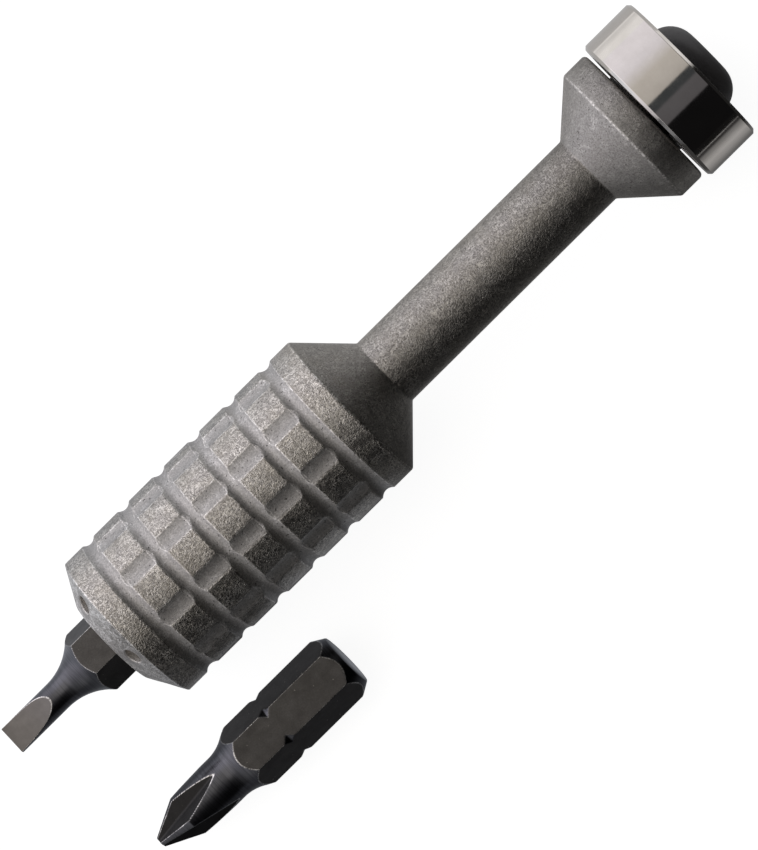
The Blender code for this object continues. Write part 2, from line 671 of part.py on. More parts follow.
def make_axle_screw(material, parent):
    """Shoulder screw that carries the bearing, with a domed head and a hex drive."""
    shoulder_radius = BEARING_BORE_RADIUS - FIT_CLEARANCE
    profile = [
        (AXLE_END, 0),
        (AXLE_END, AXLE_THREAD_RADIUS - AXLE_END_CHAMFER),
        (AXLE_END + AXLE_END_CHAMFER, AXLE_THREAD_RADIUS),
        (SPACER_START, AXLE_THREAD_RADIUS),
        (SPACER_START, shoulder_radius),
        (DOME_SEAT, shoulder_radius),
    ]
    profile += arc_through((DOME_SEAT, DOME_RADIUS), (DOME_TOP, DOME_TOP_RADIUS),
                           DOME_ARC_RADIUS, 5)
    profile += [(DOME_TOP, 0)]
    screw = turned("axle_screw", profile, material, parent)
    shape(screw, hex_bar("dome_drive", DOME_DRIVE_ACROSS_FLATS, DOME_TOP - DOME_DRIVE_DEPTH,
                         DOME_TOP + CUT_OVERRUN, 0, parent))
    return screw


def build():
    """Build the driver and its spare bit."""
    clear_scene()
    titanium = make_material("tumbled_titanium", (0.52, 0.49, 0.46), 0.42, 1.0)
    black_oxide = make_material("black_oxide_steel", (0.10, 0.10, 0.11), 0.38, 0.9)
    polished_steel = make_material("polished_steel", (0.72, 0.71, 0.69), 0.12, 1.0)
    matte_black = make_material("matte_black_steel", (0.03, 0.03, 0.032), 0.5, 0.6)
    pressed_steel = make_material("pressed_steel", (0.55, 0.54, 0.52), 0.35, 1.0)
    plated_magnet = make_material("plated_magnet", (0.75, 0.74, 0.72), 0.2, 1.0)

    place = Vector((DRIVER_X, DRIVER_Y, DRIVER_HALF_HEIGHT))
    driver_axis = make_axis("driver_axis", place)
    bit_axis = make_axis("slotted_bit_axis", place - AXIS_X * BIT_REACH)
    ring_axis = make_axis("ring_axis", place)
    train_axis = make_axis("ball_train_axis", place)
    spare_axis = make_axis("spare_bit_axis", (DRIVER_X - SPARE_BIT_TIP_FROM_NOSE,
                                              DRIVER_Y - SPARE_BIT_SPACING,
                                              BIT_ACROSS_FLATS / 2))

    make_grip_body(titanium, driver_axis)
    make_nose_cap(titanium, driver_axis)
    make_magnet(plated_magnet, driver_axis)
    make_slotted_bit(black_oxide, bit_axis)
    make_cross_bit(black_oxide, spare_axis)
    make_spacer(titanium, driver_axis)
    make_axle_screw(matte_black, driver_axis)

    make_inner_race(polished_steel, driver_axis)
    make_outer_race(polished_steel, ring_axis)
    make_shield("bearing_shield_front", BEARING_START + SHIELD_RECESS, pressed_steel, ring_axis)
    make_shield("bearing_shield_rear", BEARING_END - SHIELD_RECESS - SHIELD_THICKNESS,
                pressed_steel, ring_axis)
    make_cage_half("cage_half_front", -1, pressed_steel, train_axis)
    make_cage_half("cage_half_rear", 1, pressed_steel, train_axis)
    for number in range(BALL_COUNT):
        make_ball(number, polished_steel, train_axis)
        make_rivet(number, pressed_steel, train_axis)


build()
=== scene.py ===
"""Looks of the pocket bit driver: fine meshes, finishes, light and camera.

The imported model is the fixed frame. Places along the driver are stations, counted in
metres from the nose's front face, and bits count theirs from their own tips. Angles
round an axis are zero at the top and grow towards -Y, as in the model's own source.
"""
import math

import bmesh
import bpy
import numpy as np
from mathutils import Matrix, Vector
from mathutils import noise as lumps


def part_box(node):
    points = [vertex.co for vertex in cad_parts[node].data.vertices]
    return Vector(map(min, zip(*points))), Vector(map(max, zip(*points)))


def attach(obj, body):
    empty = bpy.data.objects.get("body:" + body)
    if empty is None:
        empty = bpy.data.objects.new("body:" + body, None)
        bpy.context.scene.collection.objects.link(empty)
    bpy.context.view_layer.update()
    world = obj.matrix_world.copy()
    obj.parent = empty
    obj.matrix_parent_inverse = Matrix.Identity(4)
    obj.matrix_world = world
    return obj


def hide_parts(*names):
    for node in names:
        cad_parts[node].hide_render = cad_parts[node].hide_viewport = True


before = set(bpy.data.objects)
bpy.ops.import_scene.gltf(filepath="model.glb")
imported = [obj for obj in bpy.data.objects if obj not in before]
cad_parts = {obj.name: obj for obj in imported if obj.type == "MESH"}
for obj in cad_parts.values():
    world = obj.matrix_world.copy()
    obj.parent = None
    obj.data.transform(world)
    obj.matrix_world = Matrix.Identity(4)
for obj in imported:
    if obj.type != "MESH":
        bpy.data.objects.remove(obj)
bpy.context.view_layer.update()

MM = 0.001

# Grip, nose and head, as in the model
GRIP_RADIUS = 8.4 * MM
NOSE_FACE_RADIUS = 4.9 * MM
NOSE_BEVEL_LENGTH = 2.0 * MM
NOSE_LAND_LENGTH = 0.15 * MM
NOSE_PILOT_LENGTH = 2.0 * MM
PILOT_RADIUS = 7.3 * MM
STEM_RADIUS = 6.0 * MM
FRONT_BAND_LENGTH = 3.07 * MM
RING_GROOVE_COUNT = 6
RING_GROOVE_PITCH = 4.7 * MM
RING_GROOVE_RADIUS = 0.98 * MM
RING_GROOVE_DEPTH = 0.35 * MM
REAR_BAND_LENGTH = 3.21 * MM
FLUTE_COUNT = 10
FLUTE_RADIUS = 2.75 * MM
FLUTE_DEPTH = 0.23 * MM
FLUTE_ANGLE = math.radians(18)
SHOULDER_CONE_LENGTH = 4.55 * MM
NECK_RADIUS = 3.76 * MM
NECK_LENGTH = 26.98 * MM
HEAD_CONE_LENGTH = 4.6 * MM
HEAD_RADIUS = 7.95 * MM
HEAD_EDGE_RADIUS = 0.45 * MM
SPANNER_HOLE_COUNT = 6
SPANNER_HOLE_RADIUS = 0.9 * MM
SPANNER_HOLE_DEPTH = 1.1 * MM
SPANNER_HOLE_PLACE_SHARE = 0.53
SPANNER_HOLE_ANGLE = math.radians(24.8)
MAGNET_RADIUS = 3.04 * MM

# Bits
BIT_LENGTH = 25.0 * MM
BIT_ACROSS_FLATS = 6.3 * MM
BIT_REAR_CHAMFER_DEPTH = 0.8 * MM
BIT_REAR_CHAMFER_LENGTH = 1.35 * MM
BIT_NOTCH_FROM_REAR = 8.9 * MM
BIT_NOTCH_LENGTH = 1.38 * MM
BIT_NOTCH_DEPTH = 0.29 * MM
BLADE_SHANK_RADIUS = 1.52 * MM
BLADE_SHANK_LENGTH = 6.1 * MM
BLADE_FLARE_RADIUS = 6.0 * MM
BLADE_HEX_CHAMFER = 0.66 * MM
BLADE_HEX_CHAMFER_ANGLE = math.radians(45)
BLADE_THICKNESS = 0.5 * MM
BLADE_GRIND_LENGTH = 5.5 * MM
BLADE_GRIND_RADIUS = 14.4 * MM
BLADE_ANGLE = math.radians(-8.7)
CROSS_TIP_RADIUS = 0.57 * MM
CROSS_POINT_LENGTH = 3.64 * MM
CROSS_POINT_RADIUS = 2.40 * MM
CROSS_TAPER_LENGTH = 4.0 * MM
CROSS_SHANK_RADIUS = 2.54 * MM
CROSS_STRAIGHT_LENGTH = 1.21 * MM
CROSS_FLARE_RADIUS = 4.3 * MM
CROSS_HEX_CHAMFER = 0.43 * MM
CROSS_HEX_CHAMFER_ANGLE = math.radians(27)
CROSS_FLUTE_COUNT = 4
CROSS_FLUTE_RUN_OUT = 0.45 * MM
CROSS_FLUTE_ROOT_RADIUS = 0.42 * MM
CROSS_FLUTE_FLOOR_WIDTH = 0.16 * MM
CROSS_FLUTE_HALF_ANGLE = math.radians(65)
CROSS_WING_ANGLE = math.radians(22.3)

# Bearing, spacer and axle screw
RACE_CHAMFER = 0.3 * MM
SHIELD_SEAT_RADIUS = 7.29 * MM
SHIELD_SEAT_DEPTH = 0.65 * MM
RACE_TRACK_RADIUS = 6.94 * MM
SHIELD_INNER_RADIUS = 4.76 * MM
SHIELD_OUTER_RADIUS = 7.25 * MM
SHIELD_STEP_RADIUS = 6.75 * MM
SHIELD_STEP_DEPTH = 0.1 * MM
AXLE_RADIUS = 2.96 * MM
AXLE_THREAD_RADIUS = 2.5 * MM
AXLE_END_CHAMFER = 0.4 * MM
SPACER_BORE_RADIUS = 3.0 * MM
DOME_RADIUS = 4.9 * MM
DOME_TOP_RADIUS = 2.5 * MM
DOME_HEIGHT = 2.0 * MM
DOME_ARC_RADIUS = 2.8 * MM
DOME_DRIVE_ACROSS_FLATS = 3.0 * MM
DOME_DRIVE_DEPTH = 1.6 * MM
DOME_FLAT_SHARES = (0.96, 0.8, 0)

# Gaps between pieces that are screwed or slid together
FIT_GAP = 0.04 * MM
END_GAP = 0.05 * MM
SOCKET_GAP = 0.1 * MM
WELL_GAP = 0.6 * MM
WELL_LAND = 0.16 * MM

# Softened edges, worn places, painted shade and painted light, and how finely the meshes follow the
# shapes
WORN_EDGE = 0.09 * MM
CONE_EDGE = WORN_EDGE * 1.5
CRISP_EDGE = 0.05 * MM
SEAM_EDGE = 0.006 * MM
WEAR_REACH = 0.075 * MM
NOTCH_WEAR = 0.45
NOSE_WEAR = 1.3
FACE_WEAR_FALL = 1.5
BEVEL_START_SHARE = 1.15
FLUTE_SHEEN_DEPTH = FLUTE_DEPTH / 3
# Painted shade on the bevel and spacer, and painted light in the spanner holes
BEVEL_PAINTED_SHADE = 0.55
HOLE_PAINTED_LIGHT = -1
SPACER_PAINTED_SHADE = 3
DENT_DEPTH = 0.07 * MM
DENT_SPACING = 0.33 * MM
FINE_STEP = 0.07 * MM
BIT_STEP = 0.075 * MM
COARSE_STEP = 0.9 * MM
EDGE_SPAN = 0.3 * MM
GROOVE_SPAN_SHARE = 0.95
FLUTE_SPAN_SHARE = 1.25
BIT_FRONT_SPAN = 13.2 * MM
BIT_NOTCH_SPAN = 0.9 * MM
BIT_REAR_SPAN = 1.6 * MM
FINE_TURN = math.radians(0.5)
COARSE_TURN = math.radians(1)
BIT_TURN = math.radians(1.6)
BIT_CORNER_SPAN = math.radians(2)
BLADE_SIDE_SPAN = math.radians(16)
ROUND_SEGMENTS = 256
HOLE_SEGMENTS = 40
POCKET_SEGMENTS = 48
SHARP_TURN = math.radians(35)
SCREW_SHARP_TURN = math.radians(40)
BIT_SHARP_TURN = math.radians(50)
TINY = 0.000001
CUT_OVERRUN = 1.0 * MM
MERGE_GAP = 0.0001 * MM
MOUTH_CHAMFER = 0.12 * MM

# Camera, fitted to the photograph's frame of 758 by 850 pixels
IMAGE_HEIGHT = 850
FOCAL_PIXELS = 5435.5
SENSOR_HEIGHT = 36
CAMERA_TARGET = Vector((-0.3855 * MM, 2.6511 * MM, 0))
CAMERA_DIRECTION = Vector((0.0577, -0.0729, 1)).normalized()
CAMERA_DISTANCE = 513.1 * MM
CAMERA_CLIP_START = CAMERA_DISTANCE / 50
CAMERA_TURN = math.radians(-44.634)

# Floor, from its middle to its edge
FLOOR_REACH = 3000 * MM

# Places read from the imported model
grip_low, grip_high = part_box("grip_body")
ring_low, ring_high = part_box("bearing_outer_race")
spacer_low, spacer_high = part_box("spacer_washer")
blade_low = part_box("slotted_bit")[0]
cross_low, cross_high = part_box("phillips_bit")
NOSE_FACE = Vector((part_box("nose_cap")[0].x, (ring_low.y + ring_high.y) / 2,
                    (ring_low.z + ring_high.z) / 2))
ROUND_SHARE = (grip_high.z - grip_low.z) / 2 / GRIP_RADIUS

# First and last station of the model's pieces
SPANS = {node: [corner.x - NOSE_FACE.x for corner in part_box(node)] for node in (
    "nose_cap", "grip_body", "socket_magnet", "spacer_washer", "bearing_outer_race",
    "bearing_shield_front", "bearing_shield_rear", "axle_screw")}

# Stations that follow from the sizes above
NOSE_SEAM = NOSE_BEVEL_LENGTH + NOSE_LAND_LENGTH
FIRST_GROOVE = NOSE_BEVEL_LENGTH + FRONT_BAND_LENGTH
GROOVES = [FIRST_GROOVE + groove * RING_GROOVE_PITCH for groove in range(RING_GROOVE_COUNT)]
SHOULDER = GROOVES[-1] + REAR_BAND_LENGTH
NECK_START = SHOULDER + SHOULDER_CONE_LENGTH
NECK_END = NECK_START + NECK_LENGTH
HEAD_RIM_START = NECK_END + HEAD_CONE_LENGTH
HEAD_TOP = SPANS["grip_body"][1]
BIT_CORNER_RADIUS = BIT_ACROSS_FLATS / math.sqrt(3)

# Finish along the neck and head: how evenly blasted, and how much painted shade, at each place
FINISH_PLACES = [SHOULDER, SHOULDER + WORN_EDGE, NECK_START, NECK_START + WORN_EDGE,
                 NECK_END - 10 * MM, NECK_END, NECK_END + WORN_EDGE, HEAD_RIM_START, HEAD_TOP]
BLASTED_SHARES = [0, 0.3, 0.4, 0.15, 0.18, 0.2, 0.8, 0.75, 0.4]
PAINTED_SHADING_LEVELS = [0, 1.2, 0.8, 0.7, 0.75, 1.4, 0.5, 0.5, 1.7]


# Shapes in the (station, radius) half plane

def soft_min(first, second, width):
    """The lesser of two heights with their crossing rounded, and how near the crossing is."""
    share = np.clip(0.5 + 0.5 * (second - first) / width, 0, 1)
    blend = share * (1 - share)
    return second * (1 - share) + first * share - width * blend, 4 * blend


def edge_share(first, second, width):
    """How near two heights are to crossing, from 0 to 1 where they meet."""
    return np.clip(1 - np.abs(first - second) / width, 0, 1)


def soft_max(first, second, width):
    """The greater of two heights with their crossing rounded."""
    return -soft_min(-first, -second, width)[0]


def arc_points(centre, radius, start, end, steps):
    """Points of an arc, from one angle to another."""
    angles = np.linspace(start, end, steps + 1)
    return [(centre[0] + radius * math.cos(a), centre[1] + radius * math.sin(a)) for a in angles]


def arc_centre(first, last, radius):
    """Centre of an arc between two points, on the left of the way from first to last."""
    chord = last - first
    left = Vector((-chord.y, chord.x)).normalized()
    return (first + last) / 2 + left * math.sqrt(radius**2 - (chord.length / 2)**2)


def rounded(corners, fillets, steps=4):
    """Outline through corners with each inner corner rounded by its fillet radius."""
    points = [corners[0]]
    for before, corner, after, fillet in zip(corners, corners[1:], corners[2:], fillets):
        here = Vector(corner)
        back = (Vector(before) - here).normalized()
        ahead = (Vector(after) - here).normalized()
        half = back.angle(ahead) / 2
        reach = fillet / math.tan(half)
        centre = here + (back + ahead).normalized() * fillet / math.sin(half)
        first = here + back * reach - centre
        turn = first.angle_signed(here + ahead * reach - centre)
        points.append(tuple(here + back * reach * 2))
        for step in range(steps + 1):
            angle = -turn * step / steps
            cosine, sine = math.cos(angle), math.sin(angle)
            points.append((centre.x + first.x * cosine - first.y * sine,
                           centre.y + first.x * sine + first.y * cosine))
        points.append(tuple(here + ahead * reach * 2))
    points.append(corners[-1])
    return points


def spread(start, end, fine_spans, fine_step, coarse_step):
    """Sample places from start to end, close together inside the fine spans."""
    marks = {start, end}
    for low, high in fine_spans:
        low, high = max(low, start), min(high, end)
        if high > low:
            marks.update(np.linspace(low, high, max(round((high - low) / fine_step), 2)))
    ordered = sorted(marks)
    places = [ordered[0]]
    for low, high in zip(ordered, ordered[1:]):
        steps = max(math.ceil((high - low) / coarse_step), 1)
        places += list(np.linspace(low, high, steps + 1)[1:])
    return np.array(places)


# Meshes

def add_object(name, data):
    """A new object in the scene."""
    thing = bpy.data.objects.new(name, data)
    bpy.context.scene.collection.objects.link(thing)
    return thing


def set_marks(mesh, marks):
    """Keep named values on a mesh's points, for its material."""
    for mark, values in marks.items():
        attribute = mesh.attributes.new(mark, "FLOAT", "POINT")
        attribute.data.foreach_set("value", values.astype(np.float32).ravel())


def polar_piece(name, centre, stations, angles, radii, marks=None, closed=False):
    """Skin rings of points round an axis through centre into one closed mesh.

    A first or last ring of no radius becomes a point. Marks are named values on the points.
    """
    stations = np.asarray(stations, float)
    ring_count, angle_count = radii.shape
    along = np.repeat(stations[:, None], angle_count, axis=1)
    side = -radii * np.sin(angles)
    up = radii * np.cos(angles)
    points = np.stack([centre.x + along, centre.y + side, centre.z + up], axis=-1).reshape(-1, 3)
    index = np.arange(ring_count * angle_count).reshape(ring_count, angle_count)
    rows = np.vstack([index, index[:1]]) if closed else index
    here, ahead = rows[:-1], rows[1:]
    quads = np.stack([here, np.roll(here, -1, 1), np.roll(ahead, -1, 1), ahead], -1)
    mesh = bpy.data.meshes.new(name)
    mesh.from_pydata(points, [], quads.reshape(-1, 4).tolist())
    set_marks(mesh, marks or {})
    mesh_builder = bmesh.new()
    mesh_builder.from_mesh(mesh)
    if not closed:
        bmesh.ops.remove_doubles(mesh_builder, verts=mesh_builder.verts, dist=MERGE_GAP)
    mesh_builder.to_mesh(mesh)
    mesh_builder.free()
    mesh.shade_smooth()
    return add_object(name, mesh)


def turned(name, outline, closed=False, segments=ROUND_SEGMENTS):
    """Turn a (station, radius) outline about the driver's axis."""
    outline = np.array(outline)
    angles = np.linspace(0, math.tau, segments, endpoint=False)
    radii = np.repeat(outline[:, 1:] * ROUND_SHARE, segments, axis=1)
    return polar_piece(name, NOSE_FACE, outline[:, 0], angles, radii, closed=closed)


def prism(name, outline, depth, place, lean, flare=MOUTH_CHAMFER):
    """Closed bar that cuts a hole of some depth, and flares near its mouth to chamfer it."""
    mesh_builder = bmesh.new()
    loops = []
    wide = 1 + flare / abs(outline[0][1])
    end = flare - MOUTH_CHAMFER
    for station, share in ((-depth, 1), (-MOUTH_CHAMFER, 1), (end, wide),
                           (end + CUT_OVERRUN, wide)):
        corners = [Vector((x * share, y * share, station)) for x, y in outline]
        loops.append([mesh_builder.verts.new(corner) for corner in corners])
    for first, second in zip(loops, loops[1:]):
        for a, b, c, d in zip(first, first[1:] + first[:1], second[1:] + second[:1], second):
            mesh_builder.faces.new((a, b, c, d))
    mesh_builder.faces.new(loops[0])
    mesh_builder.faces.new(loops[-1])
    bmesh.ops.recalc_face_normals(mesh_builder, faces=mesh_builder.faces)
    mesh = bpy.data.meshes.new(name)
    mesh_builder.to_mesh(mesh)
    mesh_builder.free()
    cutter = add_object(name, mesh)
    cutter.matrix_world = Matrix.Translation(place) @ lean
    return cutter


def cut(piece, cutters):
    """Cut the helper solids out of a piece for good, and remove the helpers."""
    for cutter in cutters:
        modifier = piece.modifiers.new(cutter.name, "BOOLEAN")
        modifier.operation = "DIFFERENCE"
        modifier.solver = "EXACT"
        modifier.object = cutter
    bpy.context.view_layer.update()
    evaluated = piece.evaluated_get(bpy.context.evaluated_depsgraph_get())
    mesh = bpy.data.meshes.new_from_object(evaluated)
    piece.modifiers.clear()
    piece.data = mesh
    for cutter in cutters:
        bpy.data.objects.remove(cutter, do_unlink=True)


def polygon(radius, corner_count, angle=0):
    """Corners of an even polygon, the first of them at the given angle."""
    turns = np.linspace(0, math.tau, corner_count, endpoint=False) + angle
    return [(radius * math.sin(turn), radius * math.cos(turn)) for turn in turns]


def hexagon(across_flats, angle):
    """Corners of a hexagon with a flat that faces the given angle."""
    return polygon(across_flats / math.sqrt(3), 6, angle + math.pi / 6)


def finish_piece(piece, material, body, slot, *nodes):
    """Give a piece its material and its body, and hide the model's nodes that it stands for."""
    piece.data.materials.clear()
    piece.data.materials.append(material)
    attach(piece, body)
    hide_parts(*nodes)


# Grip and nose

def grip_radius_at(stations):
    """Radius of the turned grip, neck and head, and how near each place is to a worn edge."""
    cone_slope = (GRIP_RADIUS - NECK_RADIUS) / SHOULDER_CONE_LENGTH
    head_slope = (HEAD_RADIUS - NECK_RADIUS) / HEAD_CONE_LENGTH
    front, front_edge = soft_min(GRIP_RADIUS, GRIP_RADIUS - (stations - SHOULDER) * cone_slope,
                                 CONE_EDGE)
    rear, rear_edge = soft_min(HEAD_RADIUS, NECK_RADIUS + (stations - NECK_END) * head_slope,
                               CONE_EDGE)
    in_front = stations < (NECK_START + NECK_END) / 2
    radius = soft_max(NECK_RADIUS, np.where(in_front, front, rear), WORN_EDGE)
    edge = np.where(in_front, front_edge, rear_edge)
    for groove in GROOVES:
        offset = np.clip(stations - groove, -RING_GROOVE_RADIUS, RING_GROOVE_RADIUS)
        centre = GRIP_RADIUS + RING_GROOVE_RADIUS - RING_GROOVE_DEPTH
        floor = centre - np.sqrt(RING_GROOVE_RADIUS**2 - offset**2)
        radius, near = soft_min(radius, floor, WORN_EDGE)
        edge = np.maximum(edge, near)
    return radius, edge


def flute_radius_at(angles):
    """Radius of the flutes' floor, and twice the grip's radius between them."""
    pitch = math.tau / FLUTE_COUNT
    offset = (angles - FLUTE_ANGLE + pitch / 2) % pitch - pitch / 2
    centre = GRIP_RADIUS + FLUTE_RADIUS - FLUTE_DEPTH
    inside = np.clip(FLUTE_RADIUS**2 - (centre * np.sin(offset))**2, 0, None)
    return np.where(inside > 0, centre * np.cos(offset) - np.sqrt(inside), 2 * GRIP_RADIUS)


def edge_dents(stations, angles, wear):
    """Small dents that tumbling left along the worn edges."""
    dents = np.zeros_like(wear)
    for row, column in zip(*np.nonzero(wear > 0.1)):
        turn = angles[column]
        place = Vector((stations[row], GRIP_RADIUS * math.sin(turn), GRIP_RADIUS * math.cos(turn)))
        dents[row, column] = lumps.noise(place / DENT_SPACING)
    return DENT_DEPTH * wear * np.clip(dents, 0, 1)


def grip_angles():
    """Angles round the grip, close together across the flutes."""
    pitch = math.tau / FLUTE_COUNT
    half = FLUTE_SPAN_SHARE * math.sqrt(2 * FLUTE_RADIUS * FLUTE_DEPTH) / GRIP_RADIUS
    one = spread(-pitch / 2, pitch / 2, [(-half, half)], FINE_TURN, COARSE_TURN)[:-1]
    return np.concatenate([FLUTE_ANGLE + pitch * flute + one for flute in range(FLUTE_COUNT)])


def grip_inside():
    """Outline of the grip's bore, its seat for the nose's pilot and the lip of the seam."""
    stem_end = SPANS["nose_cap"][1] + END_GAP
    pilot_end, pilot_radius = NOSE_SEAM + NOSE_PILOT_LENGTH, PILOT_RADIUS + FIT_GAP
    lip_radius = GRIP_RADIUS - SEAM_EDGE
    bore = rounded([(stem_end, 0), (stem_end, STEM_RADIUS), (pilot_end, STEM_RADIUS),
                    (pilot_end, pilot_radius), (NOSE_SEAM, pilot_radius),
                    (NOSE_SEAM, lip_radius)],
                   [CRISP_EDGE] * 4, 1)
    lip = arc_points((NOSE_SEAM + SEAM_EDGE, lip_radius), SEAM_EDGE, math.pi, math.pi / 2, 3)
    return bore + lip[1:]


def head_rear():
    """Outline of the head's rear edge, its rear face and the axle screw's well."""
    brow = arc_points((HEAD_TOP - HEAD_EDGE_RADIUS, HEAD_RADIUS - HEAD_EDGE_RADIUS),
                      HEAD_EDGE_RADIUS, math.pi / 2, 0, 8)
    well_end, well_radius = SPANS["axle_screw"][0] - WELL_GAP, AXLE_THREAD_RADIUS + FIT_GAP
    return brow[1:] + [(HEAD_TOP, well_radius + WELL_LAND), (HEAD_TOP, well_radius),
                       (well_end, well_radius), (well_end, 0)]


def make_grip(material):
    """Grip, neck and head as one turned skin, with flutes between its ring grooves."""
    angles = grip_angles()
    half_groove = RING_GROOVE_RADIUS * GROOVE_SPAN_SHARE
    fine = [(groove - half_groove, groove + half_groove) for groove in GROOVES]
    fine += [(edge - EDGE_SPAN, edge + EDGE_SPAN)
             for edge in (SHOULDER, NECK_START, NECK_END, HEAD_RIM_START)]
    outer = spread(NOSE_SEAM + 3 * SEAM_EDGE, HEAD_TOP - HEAD_EDGE_RADIUS, fine, FINE_STEP,
                   COARSE_STEP)
    outer_radius, outer_edge = grip_radius_at(outer)
    inside = grip_inside()
    outline = np.array(inside + list(zip(outer, outer_radius)) + head_rear())
    stations, plain = outline[:, 0], outline[:, 1:]
    is_outer = np.zeros(len(outline), bool)
    is_outer[len(inside):len(inside) + len(outer)] = True
    edge = np.zeros(len(outline))
    edge[is_outer] = outer_edge
    fluted = is_outer & (stations > GROOVES[0]) & (stations < GROOVES[-1])
    cut_radius, cut_edge = soft_min(plain, flute_radius_at(angles), CRISP_EDGE)
    radii = np.where(fluted[:, None], cut_radius, plain)
    wear = np.maximum(edge[:, None], np.where(fluted[:, None], cut_edge, 0))
    depth_share = np.clip((GRIP_RADIUS - radii) / FLUTE_SHEEN_DEPTH, 0, 1)
    cut_share = depth_share * (is_outer & (stations < SHOULDER))[:, None]
    blasted = np.maximum(cut_share, np.interp(stations, FINISH_PLACES, BLASTED_SHARES)[:, None])
    # Painted shade: a darker tone along the neck and head, set for each place
    painted_shading = np.zeros_like(radii) + np.interp(stations, FINISH_PLACES, PAINTED_SHADING_LEVELS)[:, None]
    radii = (radii - edge_dents(stations, angles, wear)) * ROUND_SHARE
    grip = polar_piece("grip_fine", NOSE_FACE, stations, angles, radii,
                       {"wear": wear, "blasted": blasted, "painted_shading": painted_shading})
    finish_piece(grip, material, "driver", "titanium", "grip_body")


def mark_nose(piece):
    """Mark the nose cap's worn edges and its finely blasted bevel, holes and socket."""
    places = np.zeros(len(piece.data.vertices) * 3)
    piece.data.vertices.foreach_get("co", places)
    x, y, z = (places.reshape(-1, 3) - np.array(NOSE_FACE)).T
    radius = np.hypot(y, z)
    bevel_edge = np.hypot(x - NOSE_BEVEL_LENGTH, radius - GRIP_RADIUS)
    face_edge = np.hypot(x, radius - NOSE_FACE_RADIUS)
    nearest = np.minimum(bevel_edge, face_edge * FACE_WEAR_FALL)
    wear = np.clip(NOSE_WEAR - nearest / (2 * WORN_EDGE), 0, 1)
    blasted = np.where(x > NOSE_BEVEL_LENGTH - WORN_EDGE / 2, 0, 1)
    bevel = Vector((NOSE_BEVEL_LENGTH, GRIP_RADIUS - NOSE_FACE_RADIUS)).normalized()
    under_bevel = x * bevel.y - (radius - NOSE_FACE_RADIUS) * bevel.x
    off_face = (x < NOSE_BEVEL_LENGTH) & (radius > BIT_CORNER_RADIUS * BEVEL_START_SHARE)
    # Painted shade darkens the bevel, and painted light lightens the spanner holes.
    painted_shading = np.where(under_bevel > WORN_EDGE, HOLE_PAINTED_LIGHT, BEVEL_PAINTED_SHADE) * off_face
    set_marks(piece.data, {"wear": wear, "blasted": blasted, "painted_shading": painted_shading})


def spanner_hole_cutters():
    """Helpers for the blind holes, drilled square to the bevel, each with a soft mouth."""
    bevel = Vector((NOSE_BEVEL_LENGTH, GRIP_RADIUS - NOSE_FACE_RADIUS))
    outward = Vector((-bevel.y, 0, bevel.x)).normalized()
    place = bevel * SPANNER_HOLE_PLACE_SHARE
    mouth = Vector((place.x, 0, (NOSE_FACE_RADIUS + place.y) * ROUND_SHARE))
    lean = outward.to_track_quat("Z", "Y").to_matrix().to_4x4()
    outline = polygon(SPANNER_HOLE_RADIUS, HOLE_SEGMENTS)
    cutters = []
    for hole in range(SPANNER_HOLE_COUNT):
        angle = SPANNER_HOLE_ANGLE + math.tau * hole / SPANNER_HOLE_COUNT
        turn = Matrix.Rotation(angle, 4, "X")
        cutters.append(prism(f"hole_{hole}", outline, SPANNER_HOLE_DEPTH, NOSE_FACE,
                             turn @ Matrix.Translation(mouth) @ lean))
    return cutters


def make_nose(material):
    """Nose cap with its bevel, hex socket, magnet pocket and spanner holes."""
    stem_end = SPANS["nose_cap"][1]
    outline = rounded([(0, 0), (0, NOSE_FACE_RADIUS), (NOSE_BEVEL_LENGTH, GRIP_RADIUS),
                       (NOSE_SEAM, GRIP_RADIUS), (NOSE_SEAM, PILOT_RADIUS),
                       (NOSE_SEAM + NOSE_PILOT_LENGTH, PILOT_RADIUS),
                       (NOSE_SEAM + NOSE_PILOT_LENGTH, STEM_RADIUS), (stem_end, STEM_RADIUS),
                       (stem_end, 0)],
                      [WORN_EDGE * 1.6, WORN_EDGE / 2, SEAM_EDGE] + [CRISP_EDGE] * 4)
    nose = turned("nose_fine", outline)
    facing = Matrix.Rotation(-math.pi / 2, 4, "Y")
    socket_end, magnet_end = SPANS["socket_magnet"]
    outline = hexagon(BIT_ACROSS_FLATS + SOCKET_GAP, -BLADE_ANGLE)
    socket = prism("socket_cutter", outline, socket_end, NOSE_FACE, facing)
    pocket = prism("pocket_cutter", polygon(MAGNET_RADIUS, POCKET_SEGMENTS),
                   magnet_end + END_GAP, NOSE_FACE, facing, flare=0)
    cut(nose, [socket, pocket] + spanner_hole_cutters())
    nose.data.set_sharp_from_angle(angle=SHARP_TURN)
    mark_nose(nose)
    finish_piece(nose, material, "driver", "titanium", "nose_cap")


# Bits

def hex_radius_at(angles, hex_angle):
    """Radius of a hexagonal bar with softened corners, and how near each place is to one."""
    offset = (angles - hex_angle + math.pi / 6) % (math.pi / 3) - math.pi / 6
    flat = BIT_ACROSS_FLATS / 2
    sides = flat / np.cos(offset), flat / np.cos(math.pi / 3 - np.abs(offset))
    return soft_min(*sides, CRISP_EDGE)[0], edge_share(*sides, WEAR_REACH)


def drive_radius_at(stations):
    """What the detent notch and the rear chamfer leave of a bit's corners."""
    notch_slope = BIT_NOTCH_DEPTH / (BIT_NOTCH_LENGTH / 2)
    notch = BIT_LENGTH - BIT_NOTCH_FROM_REAR
    in_notch = BIT_CORNER_RADIUS - BIT_NOTCH_DEPTH + np.abs(stations - notch) * notch_slope
    rear_slope = BIT_REAR_CHAMFER_DEPTH / BIT_REAR_CHAMFER_LENGTH
    at_rear = BIT_CORNER_RADIUS - BIT_REAR_CHAMFER_DEPTH + (BIT_LENGTH - stations) * rear_slope
    return np.minimum(in_notch, at_rear)


